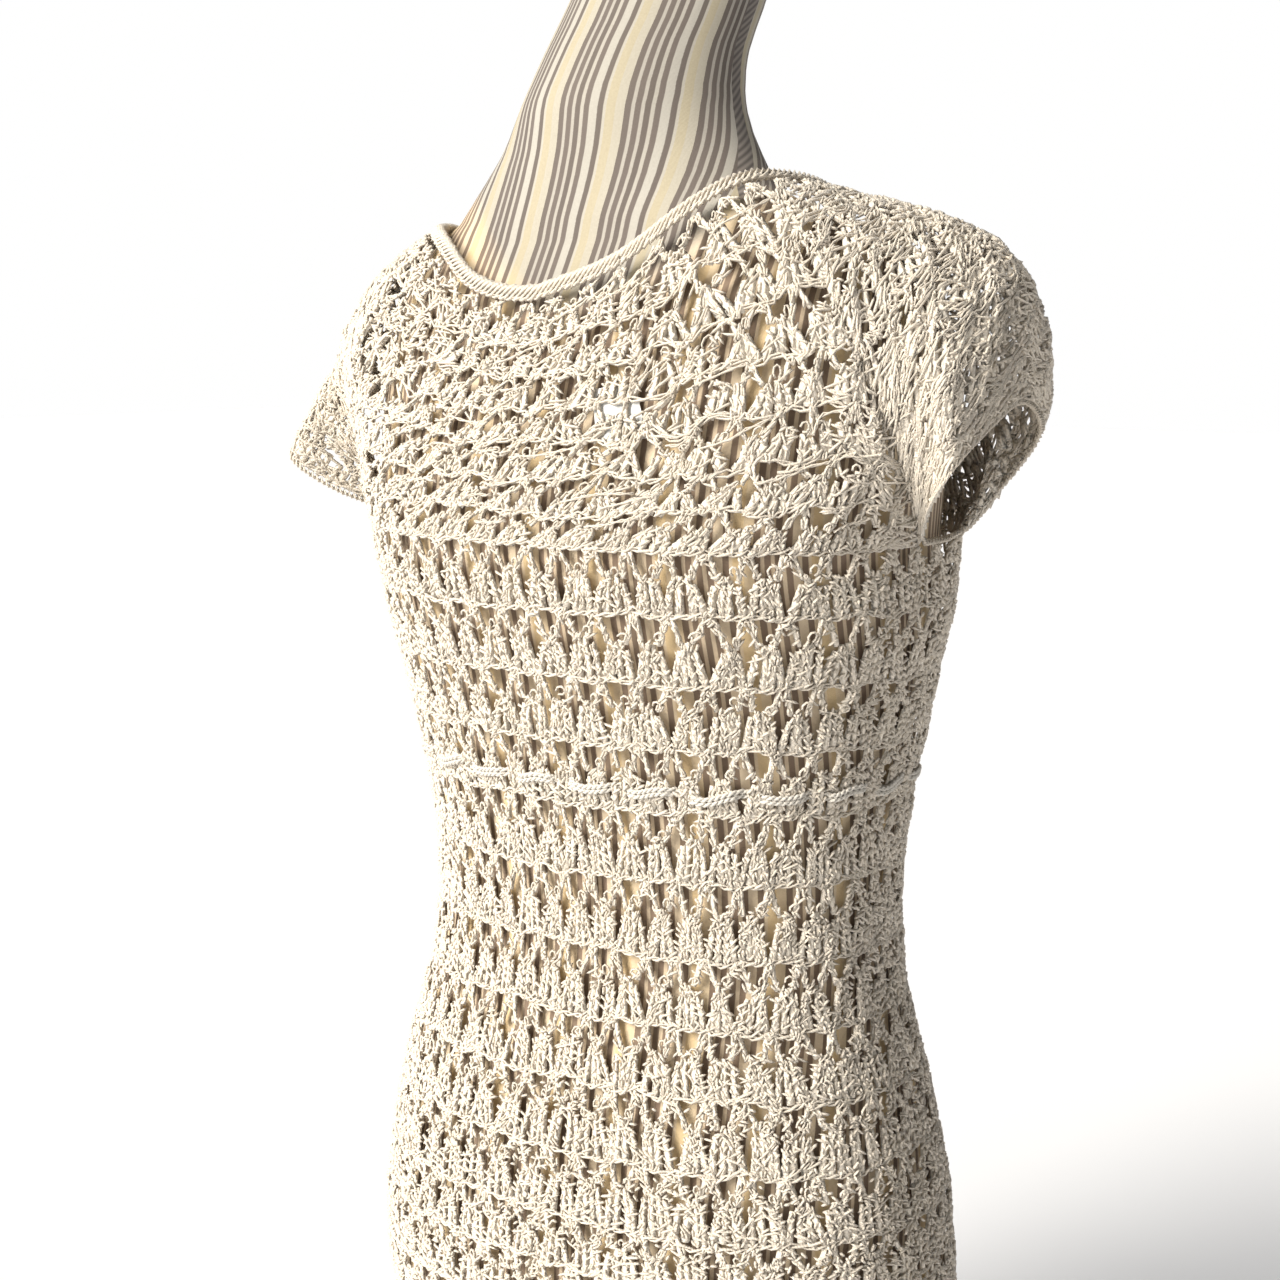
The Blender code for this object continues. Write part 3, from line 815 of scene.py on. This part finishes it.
        u, s = leg(np.array([[0.0, 0.5, 1.0]]))
        u = u + side * shut * shutting["leg"] / 2
        core = (coreWide * (1 + shutting["legCore"] * shut), coreDeep)
        strand(loops, u, s, stitch["legOut"] + spread("coreOut"), core, packed=True)
        for row in range(legRows):
            begin = (row + spread("legStart")) / legRows
            loop(loops, leg, begin, begin + 1 / legRows, stitch["loopOut"] + stitch["legOver"] * side)

    # the picot loop, which leans over one side of the shell's top
    half = math.radians(stitch["picotTurn"])
    sweep = np.linspace(-half, half, 7)[None]
    size = between(*stitch["picotTimes"]) * np.clip(depth / stitch["picotRow"], 0.8, 1)
    tip = math.radians(stitch["picotTip"]) + spread("picotTip")
    across, up = stitch["picotSize"][0] * np.sin(sweep) * size, stitch["picotSize"][1] * np.cos(sweep) * size
    aside, below = stitch["picotPlace"]
    u = joints + aside + spread("picotAside") + (across * np.cos(tip) - up * np.sin(tip)) / unitWidth
    s = shellTop + below + spread("picotRise") - (across * np.sin(tip) + up * np.cos(tip)) / depth
    strand(loops, u, s, 1.0 + 0.5 * np.cos(sweep) + spread("picotOut"), stitch["picotYarn"])
    if inYoke:
        # loose strands drawn slanting across the windows
        chosen = np.flatnonzero(dice.random(count) < stitch["strays"])[:, None]
        share = np.linspace(0, 1, 7)[None]
        reach = dice.uniform(*stitch["strayReach"], chosen.shape)
        fall = dice.uniform(*stitch["strayFall"], chosen.shape)
        begin = dice.uniform(*stitch["strayTop"], chosen.shape)
        u, s = chosen + dice.uniform(-0.2, 0.2, chosen.shape) + reach * share, begin + fall * share
        points, normals = cloth.at(u * wide, upper + deep * s, stitch["level"] + stitch["strayOut"])
        loops.twine(points, normals, 0.55, 0.5, reach * 3.5, 0.4, stitch["strayYarn"])
    chainLine(loops, cloth, count, lower, dice)


def chainLine(yarn, cloth, count, place, dice):
    # the run of chain loops that ends a round; it opens to a small eye at each joint
    u = np.linspace(0, count, count * 6 + 1)[None]
    near = np.abs(u - np.round(u))
    opened = stitch["chainWide"] + stitch["eye"] * np.exp(-((near / stitch["eyeLong"]) ** 2))
    slack = dice.normal(0, stitch["slack"], count)
    drop = stitch["sag"] * (np.sin(math.pi * np.mod(u, 1)) - 0.5)
    drop = drop + np.interp(u, np.arange(count + 1), np.append(slack, slack[0]))
    column, out = u * (cloth.columns / count), stitch["level"] + stitch["chainOut"]
    points, normals = cloth.at(column, place + drop / cloth.length, out)
    halfTurns = stitch["chainTurns"] * count
    yarn.twine(points, normals, opened, stitch["chainDeep"], halfTurns, math.pi / 2, stitch["yarn"])


rounds = {
    # chain lines, as shares of the yoke's depth and as heights on the body, and the units between them
    "yokeShares": (0.02, 0.18, 0.32, 0.46, 0.60, 0.74, 0.87, 1.0),
    "yokeCounts": (42, 46, 51, 56, 60, 65, 70),
    "upperLines": (228, 194, 156, 120),
    "bandLines": (120, 84),
    "lowerLines": (84, 44, 2, -36, -73, -112, -148, -178, -212, -246),
}


def declareCloth(cloth, upper, lower):
    # picks the rings of the stretch and the mm round each, and keeps nothing of them; laid flat a stretch is
    # a strip, or for the yoke a ring
    inside = (cloth.places >= upper - 1e-6) & (cloth.places <= lower + 1e-6)
    rings = cloth.points[inside] * mm
    around = np.linalg.norm(np.roll(rings, -1, 1) - rings, axis=2)


def workTop():
    dice = np.random.default_rng(21)
    shares, units, lower = rounds["yokeShares"], rounds["yokeCounts"], rounds["lowerLines"]
    stretches = (
        ("YokeNeck", yokeCloth, shares[0:5], units[0:4], "yoke"),
        ("YokeEdge", yokeCloth, shares[4:8], units[4:7], "yoke"),
        ("Upper", bodyCloth, rounds["upperLines"], None, "body_upper"),
        ("Band", bodyCloth, rounds["bandLines"], None, "drawstring_band"),
        ("LowerA", bodyCloth, lower[0:4], None, "body_lower"),
        ("LowerB", bodyCloth, lower[3:7], None, "body_lower"),
        ("LowerC", bodyCloth, lower[6:10], None, "body_lower"),
    )
    for name, cloth, lines, counts, node in stretches:
        shells, loops = Yarn(), Yarn()
        if cloth is bodyCloth:
            lines = [top["underarm"] - line for line in lines]
            counts = [top["bodyColumns"]] * (len(lines) - 1)
        for count, above, below in zip(counts, lines, lines[1:]):
            workRound(shells, loops, cloth, count, above, below, dice)
        piece = shells.make("shells" + name, cotton, "cotton_yarn", node)
        hung = loops.make("loops" + name, cotton, "cotton_yarn", node)
        declareCloth(cloth, lines[0], lines[-1])


workTop()

# worked edges

edging = {
    "neckSize": (3.6, 1.9),    # half height and half thickness
    "neckLoop": 11.0,          # mm along in one turn of a strand
    "neckYarn": 1.4,
    "hemSize": (1.5, 1.3),
    "sleeveSize": (1.4, 1.3),
    "loop": 3.2,
    "yarn": 0.72,
    "lean": -1.2,              # mm that a strand leans along the edge
    "loose": (0.75, 1.25),     # tightest and loosest turn
    "pointStep": 0.25,         # columns between the points that the edge is measured at
    "seats": 9,                # points where a sleeve edging crosses under the arm
}


def ropeEdge(name, middle, off, across, size, loop, radius, node, dice, piped=False):
    # strands wound slanting round the edge, three for a piped one, and a straight one inside them
    path = np.vstack([middle, middle[:1]])
    run = np.concatenate([[0], np.cumsum(np.linalg.norm(np.diff(path, axis=0), axis=1))])
    turns = round(run[-1] / loop)
    steps = turns * (12 if piped else 7)
    at = np.linspace(0, run[-1], steps + 1)

    def along(values):
        values = np.vstack([values, values[:1]])
        return np.stack([np.interp(at, run, values[:, k]) for k in range(3)], -1)

    centre, up, out = along(middle), unit(along(off)), unit(along(across))
    yarn = Yarn()
    for strand in range(3 if piped else 1):
        loose = dice.uniform(*edging["loose"], turns + 1)
        loose = np.interp(np.linspace(0, turns, steps + 1), np.arange(turns + 1), loose)
        sweep = np.linspace(0, turn * turns, steps + 1) + strand * turn / 3
        sweep += 0.5 * np.sin(np.linspace(0, turn * turns / 9, steps + 1))
        lean = unit(np.gradient(centre, axis=0)) * (edging["lean"] * np.cos(sweep) * loose)[:, None]
        rise, swell = (size[0] * np.cos(sweep) * loose**0.5)[:, None], (size[1] * np.sin(sweep))[:, None]
        wound = centre + up * rise + out * swell + lean
        yarn.lay(wound[None], unit(wound - centre - lean * 0.9)[None], radius, 3)
    core = centre[::4] + up[::4] * 0.4
    yarn.lay(core[None], out[::4][None], radius * 1.1, 5)
    if piped:
        # two more strands lie along its foot
        foot = centre[::2] - up[::2] * (size[0] * 0.9) + out[::2] * (size[1] * 0.5)
        yarn.twine(foot[None], out[::2][None], radius * 0.6, radius * 0.5, run[-1] / 5, 0.3, radius * 0.7)
    yarn.make(name, cotton, "cotton_yarn", node)


def edgeFrames(cloth, columns, place, step):
    # middle of the cloth's edge, the way off it and the way out of it
    outer, normal = cloth.at(columns, place, 0.0, 0)
    inner, _ = cloth.at(columns, place + step, 0.0, 0)
    return outer + normal * stitch["level"], unit(outer - inner), normal


def workEdges():
    dice = np.random.default_rng(5)
    step, loop, radius = edging["pointStep"], edging["neckLoop"], edging["neckYarn"]
    size = edging["neckSize"]
    middle, off, out = edgeFrames(yokeCloth, np.arange(0, top["yokeColumns"], step), 0.0, 0.02)
    path = middle + off * (size[0] - 0.4)
    ropeEdge("neckRope", path, off, out, size, loop, radius, "neck_edging", dice, True)
    size, loop, radius = edging["hemSize"], edging["loop"], edging["yarn"]
    hem = top["underarm"] - top["hem"]
    middle, off, out = edgeFrames(bodyCloth, np.arange(0, top["bodyColumns"], step), hem, -2)
    ropeEdge("hemRope", middle + off * size[0], off, out, size, loop, radius, "hem_edging", dice)
    size, seats = edging["sleeveSize"], edging["seats"]
    for side, name in ((1, "Left"), (-1, "Right")):
        columns = np.arange(top["backJoin"] + 0.5, top["frontJoin"] - 0.4, step)
        at = columns if side > 0 else top["yokeColumns"] - columns
        middle, off, out = edgeFrames(yokeCloth, at, 1.0, -0.01)
        # under the arm it lies on the body's first chain line
        front, back = top["frontJoin"] - top["sleeveSpare"] - 0.4, top["backJoin"] + 0.4
        under, _ = bodyCloth.at(np.linspace(front, back, seats) * side, 0.0, stitch["level"], 0)
        path = np.vstack([middle + off * size[0], under + (0, 0, size[0])])
        up = np.vstack([off, np.tile([0, 0, 1.0], (seats, 1))])
        through = np.vstack([out, np.tile([side, 0, 0.0], (seats, 1))])
        node = "sleeve_edging_" + name.lower()
        ropeEdge("sleeveRope" + name, path, up, through, size, loop, radius, node, dice)


workEdges()

# drawstring

cord = {
    "height": 95,
    "length": 830,      # mm round the body, for the steps and the turns
    "pointStep": 1.6,   # mm
    "halfTurn": 3.3,    # mm of cord in half a turn of its yarn
    "period": 2.0,      # units from one place where it goes in to the next
    "start": 0.12,
    "outside": 1.5,     # mm out from the cloth where it shows
    "inside": -2.6,
    "shown": 0.66,      # share of a period that it lies outside
    "dip": 0.035,       # share of a period in which it passes through
    "chainSpread": 1.35,
    "chainWide": 0.95,
    "yarn": 0.85,
    "wander": 2.4,
    "knotOut": 1.8,     # mm that the middle of the knot stands out from the cord
    "knotEdge": 1.7,    # mm of yarn round the middle of its path
    "knotHalfTurns": 26,
}


def workCord():
    yarn = Yarn()
    steps = int(cord["length"] / cord["pointStep"])
    u = np.linspace(0, top["bodyColumns"], steps + 1)
    phase = np.mod(u / cord["period"] + cord["start"], 1)
    show = 1 / (1 + np.exp((np.abs(phase - 0.5) - 0.5 * cord["shown"]) / cord["dip"]))
    out = cord["inside"] + (cord["outside"] - cord["inside"]) * show
    wander = cord["wander"] * (np.sin(u * 2.1) * 0.5 + np.sin(u * turn / cord["period"] + 1.0) * 0.5)
    depth = top["underarm"] - cord["height"] - wander
    centre, normal = bodyCloth.at(u, depth, out, 0.4)
    down = unit(np.cross(unit(np.gradient(centre, axis=0)), normal))
    halfTurns = cord["length"] / cord["halfTurn"]
    for side in (-1, 1):
        path = (centre + down * side * cord["chainSpread"])[None]
        yarn.twine(path, normal[None], cord["chainWide"], 0.5, halfTurns, side * 1.2, cord["yarn"], 4)
    yarn.make("cordOfChains", paleCotton, "crocheted_cord", "drawstring")
    # the knot at the front: one overhand turn, drawn tight
    knot = Yarn()
    t = np.linspace(0, turn, 61)
    shape = np.column_stack([np.sin(t) + 2 * np.sin(2 * t), -np.sin(3 * t), np.cos(t) - 2 * np.cos(2 * t)])
    low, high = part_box("drawstring_knot")
    middle = centre[steps // 2] + normal[steps // 2] * cord["knotOut"]
    half = (np.array(high) - np.array(low)) / 2 / mm - cord["knotEdge"]
    path = middle + shape / np.abs(shape).max(axis=0) * half
    way = unit(path - middle + 1e-6)
    knot.twine(path[None], way[None], 0.9, 0.8, cord["knotHalfTurns"], 0.4, cord["yarn"], 4)
    knot.make("cordKnot", paleCotton, "crocheted_cord", "drawstring_knot")


workCord()

# the dress form

form = {
    # height, half width, half depth, middle set left, middle set back, squareness
    "sections": (
        (548, 56, 52, 8, -28, 2.0),
        (524, 58, 52, 8, -13, 2.0),
        (491, 61, 52, 9, 8, 2.0),
        (466, 67, 54, 9.5, 18, 2.0),
        (440, 81, 50, 10, 22, 2.0),
        (415, 101, 48, 9.5, 25, 2.1),
        (402, 118, 49, 2.5, 26, 2.2),
        (390, 136, 52, 1.5, 24, 2.4),
        (376, 152.5, 64, 0.5, 18, 2.6),
        (358, 161.5, 79, 0.5, 12, 2.8),
        (335, 167, 92, 0.5, 7, 2.9),
        (300, 169, 103, 0, 7, 2.8),
        (260, 170, 110, 0, 11, 2.6),
        (228, 169, 113, 0, 13, 2.5),
        (190, 166.5, 112.5, 0, 7, 2.4),
        (150, 158.5, 107, 0, 2, 2.35),
        (110, 150.5, 101, 0, 1, 2.3),
        (60, 143.5, 96, 0, -1, 2.3),
        (20, 140.5, 93, 0, -1, 2.3),
        (-30, 144.5, 96, 0, 0, 2.3),
        (-80, 157.5, 103, 0, 2, 2.3),
        (-130, 169.5, 110, 0, 2, 2.3),
        (-180, 175.5, 114, 0, 2, 2.35),
        (-215, 177, 114.5, 0, 2, 2.35),
        (-245, 171, 110.5, 0, 2, 2.35),
        (-268, 156, 99, 0, 2, 2.3),
        (-284, 124, 77, 0, 2, 2.2),
    ),
    "sides": 96,
    "step": 12.0,            # mm between its rings
    "repeat": 41.0,          # mm across one set of stripes
    "neckStart": 466,        # above this height the stripes draw together as the neck narrows
    "phase": 0.30,
    "neckMiddle": 9.5,
    "drift": ((361, 2), (389, 4), (440, 15), (510, 24)),   # height, mm that the stripes turn to the right
    "seam": 97.87,           # where the side seam runs among the sets of stripes, and half its width
    "seamWide": 0.13,
    "under": (0.758, 0.736),   # m above the floor where the cloth starts to cover it, and where it does
    "underRise": 7,          # how fast that rises to each shoulder
    # times by which the cover is painted lighter and warmer where the cloth covers it: painted light
    "underPaintedLight": (1.60, 1.40, 1.15),
    # width of each stripe and its colour, in order to the wearer's left
    "stripes": (
        (52, (0.45, 0.415, 0.34)),
        (52, (0.45, 0.395, 0.28)),
        (17, (0.46, 0.430, 0.37)),
        (33, (0.125, 0.103, 0.092)),
        (50, (0.45, 0.425, 0.375)),
        (33, (0.140, 0.115, 0.103)),
        (22, (0.43, 0.400, 0.35)),
        (33, (0.125, 0.103, 0.092)),
        (20, (0.41, 0.380, 0.335)),
        (33, (0.140, 0.115, 0.103)),
        (20, (0.41, 0.380, 0.335)),
        (35, (0.133, 0.109, 0.097)),
    ),
}


def stripedFinish():
    finish = Finish("stripedCover", (0.80, 0.74, 0.62), 0.85, Sheen_Weight=0.1, Specular_IOR_Level=0.3)
    cover, places = finish.node("ShaderNodeUVMap", {"uv_map": "cover"}), finish.places()
    across, plain = finish.axis(cover, 0), finish.axis(cover, 1)
    side, height = finish.axis(places, 0), finish.axis(places, 2)
    up = height * 500
    whole = sum(width for width, _ in form["stripes"])
    stops, run = [], 0.0
    for width, colour in form["stripes"]:
        stops += [(run / whole + 0.004, colour), ((run + width) / whole - 0.004, colour)]
        run += width
    heather = finish.noise(900)
    stripe = finish.node("ShaderNodeValToRGB", {"stops": stops}, {0: (across + heather * 0.006).fraction()})
    speckle = finish.mix(0.28, stripe, finish.mix(heather, (0.30, 0.25, 0.20), (1, 1, 1)), "MULTIPLY")
    starts, ends = form["under"]
    values = {"Value": height - side * side * form["underRise"], "From Min": starts, "From Max": ends}
    under = finish.node("ShaderNodeMapRange", {}, values)
    # the side seam is taped, as far as the cloth leaves it bare
    ridges = ((up * 2.4 + across * 40).sine() + 1) * 0.5
    tape = finish.mix(ridges, (0.08, 0.07, 0.065), (0.23, 0.20, 0.18))
    taped = finish.mix(plain.within(form["seam"], form["seamWide"]) * (1 - under), speckle, tape)
    aged = finish.mix(finish.noise(9) * 0.12, taped, (0.35, 0.30, 0.22))
    # painted light: the cover is painted lighter and warmer where the cloth covers it
    finish.set("Base Color", finish.mix(under, aged, form["underPaintedLight"], "MULTIPLY"))
    finish.set("Roughness", 0.80 + heather * 0.15)
    weave = (across * (turn * 60)).sine() * (up * (turn * 1.4)).sine()
    finish.bump(weave + heather * 1.2, 0.35, 0.0003)
    return finish.material


def makeForm():
    table = np.array(form["sections"][::-1], float)
    heights = np.unique(np.concatenate([np.arange(table[0, 0], table[-1, 0], form["step"]), table[:, 0]]))
    rows = hermite(table[:, 0], table[:, 1:], heights)
    corners, shares, lengths = [], [], []
    for height, (half, deep, left, back, square) in zip(heights, rows):
        x, y, run = outline(half, deep, deep, square, form["sides"])
        shares.append(run / run[-1])
        lengths.append(run[-1])
        corners.append(np.column_stack([left + x, back + y, np.full(len(x), height)])[:-1])
    sides, rings = form["sides"], len(heights)
    index = np.arange(rings * sides).reshape(rings, sides)
    ahead = np.roll(index, -1, axis=1)

    def perFace(start, end):
        # the values at a face's four corners, from those at its start and its end round the form
        return np.stack([start[:-1], end[:-1], end[1:], start[1:]], -1).reshape(-1, 4)[:, ::-1]

    faces = perFace(index, ahead)
    # stripes are counted from the back along the cover, so that they run straight down
    above = np.interp(np.maximum(heights, form["neckStart"]), heights, lengths)
    draw = np.interp(form["neckStart"], heights, lengths) / above
    scale = (np.array(lengths) * draw / form["repeat"])[:, None]
    corner, first = np.arange(sides + 1), form["phase"] + 100   # counted from 100, so that none is below 0
    start = ((np.array(shares) - (corner >= sides / 2)) * scale + first)[:, :-1]
    end = ((np.array(shares) - (corner > sides / 2)) * scale + first)[:, 1:]
    knots, turned = np.array(form["drift"], float).T
    turned = hermite(knots, turned, np.clip(heights, knots[0], knots[-1]))
    drift = (turned + rows[:, 2] - form["neckMiddle"])[:, None] / form["repeat"]
    u, v = perFace(start + drift, end + drift), perFace(start, end)
    # both ends are closed by strips from side to side and a small triangle at the back and the front
    strips, tips = [], []
    for ring, way in ((0, 1), (rings - 1, -1)):
        for k in range(1, sides // 2 - 1):
            strips.append(index[ring, [k, k + 1, sides - 1 - k, sides - k]][::way])
        for k in (0, sides // 2):
            tips.append(index[ring, [k, k + 1, k - 1]][::way])
    quads, tips = np.vstack([faces, strips]), np.array(tips)
    places = np.vstack([np.stack([u, v], -1).reshape(-1, 2), np.zeros((4 * len(strips) + tips.size, 2))])
    corners, finish = np.vstack(corners), stripedFinish()
    meshPiece("formCover", corners, quads, tips, places, "cover", finish, "form_body")


makeForm()

# finishes of the hard parts and the label, which keep their own solids

solids = {
    # colour, two tones of the grain, its stretch, scale and detail, roughness and depth
    "steel": ((0.60, 0.60, 0.60), ((0.52, 0.52, 0.53), (0.66, 0.66, 0.66)), (1, 1, 60), 30, 4, 0.24, 0.08),
    "tape": ((0.66, 0.66, 0.64), ((0.60, 0.60, 0.58), (0.70, 0.70, 0.68)), (1, 1, 6), 420, 2, 0.45, 0.25),
    "wood": (0.42, 0.27, 0.15),
    "woodRings": ((0.46, 0.30, 0.17), (0.30, 0.18, 0.09)),
    "woodGrain": (0.55, 0.38, 0.22),
}


def grainedFinish(name, colour, tones, stretch, scale, detail, roughness, depth, **settings):
    finish = Finish(name, colour, roughness, **settings)
    grain = finish.noise(scale, detail, finish.places(stretch))
    finish.set("Base Color", finish.mix(grain, *tones))
    finish.set("Roughness", roughness + grain * 0.2)
    finish.bump(grain, depth, 0.0002)
    return finish.material


def woodFinish():
    finish = Finish("waxedBeech", solids["wood"], 0.45, Coat_Weight=0.15, Coat_Roughness=0.3)
    stretched = finish.places((1, 14, 1))
    grain = finish.noise(22, 6, stretched)
    rings = ((finish.noise(5, 2, stretched) * 60).sine() + 1) * 0.5
    colour = finish.mix(rings * 0.55, *solids["woodRings"])
    finish.set("Base Color", finish.mix(grain * 0.5, colour, solids["woodGrain"]))
    finish.set("Roughness", 0.36 + grain * 0.2)
    finish.bump(rings * 0.3 + grain, 0.12, 0.0004)
    return finish.material


def finishSolids():
    wood, steel = woodFinish(), grainedFinish("brushedSteel", *solids["steel"], Metallic=1.0)
    tape = grainedFinish("satinTape", *solids["tape"], Sheen_Weight=0.2)
    finishes = {"form_neck_cap": wood, "stand_base": wood, "stand_post": steel, "neck_label": tape}
    for node, finish in finishes.items():
        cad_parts[node].material_slots[0].material = finish


finishSolids()
print("finishes set")

# floor and light

studio = {
    "floorColour": (0.50, 0.50, 0.51),
    "floorGlow": 0.47,
    "glowColour": (1.0, 0.99, 0.98),
    "floorSize": 14.0,
    "keyTurn": 158,      # degrees round the object from which the main light comes
    "keyHeights": (14, 30, 46),
    "keySoftness": 24,   # degrees across
    "keyStrength": 2.3,
    "keyColour": (1.0, 0.965, 0.90),
    # share of the way up and colour, where the bright horizon ends and where the sky begins
    "sky": ((0.16, (1.0, 1.0, 0.998)), (0.24, (0.05, 0.052, 0.056))),
}


def setStudio():
    size = studio["floorSize"]
    mesh = bpy.data.meshes.new("floor")
    corners = [(-size, -size, 0), (size, -size, 0), (size, size, 0), (-size, size, 0)]
    mesh.from_pydata(corners, [], [(0, 1, 2, 3)])
    finish = Finish("paleFloor", studio["floorColour"], 0.9, Emission_Strength=studio["floorGlow"])
    finish.set("Emission Color", studio["glowColour"])
    mesh.materials.append(finish.material)
    floor = bpy.data.objects.new("floor", mesh)
    bpy.context.collection.objects.link(floor)
    # the main light is as tall as a window, so it stands in three parts one above another
    light = bpy.data.lights.new("key", "SUN")
    light.energy, light.color = studio["keyStrength"], studio["keyColour"]
    light.angle = math.radians(studio["keySoftness"])
    for height in studio["keyHeights"]:
        key = bpy.data.objects.new("key", light)
        way = wayOut(studio["keyTurn"], height)
        key.location = way * 3
        key.rotation_mode = "QUATERNION"
        key.rotation_quaternion = way.to_track_quat("Z", "Y")
        bpy.context.collection.objects.link(key)
    world = bpy.data.worlds.new("studio")
    world.use_nodes = True
    nodes = Nodes(world.node_tree)
    height = nodes.axis(nodes.node("ShaderNodeTexCoord", output="Generated"), 2)
    sky = nodes.node("ShaderNodeValToRGB", {"stops": studio["sky"]}, {0: height})
    nodes.plug(nodes.tree.nodes["Background"].inputs["Color"], sky)
    scene = bpy.context.scene
    scene.world = world
    scene.view_settings.view_transform, scene.view_settings.look = "Standard", "None"


setStudio()
print("studio set")
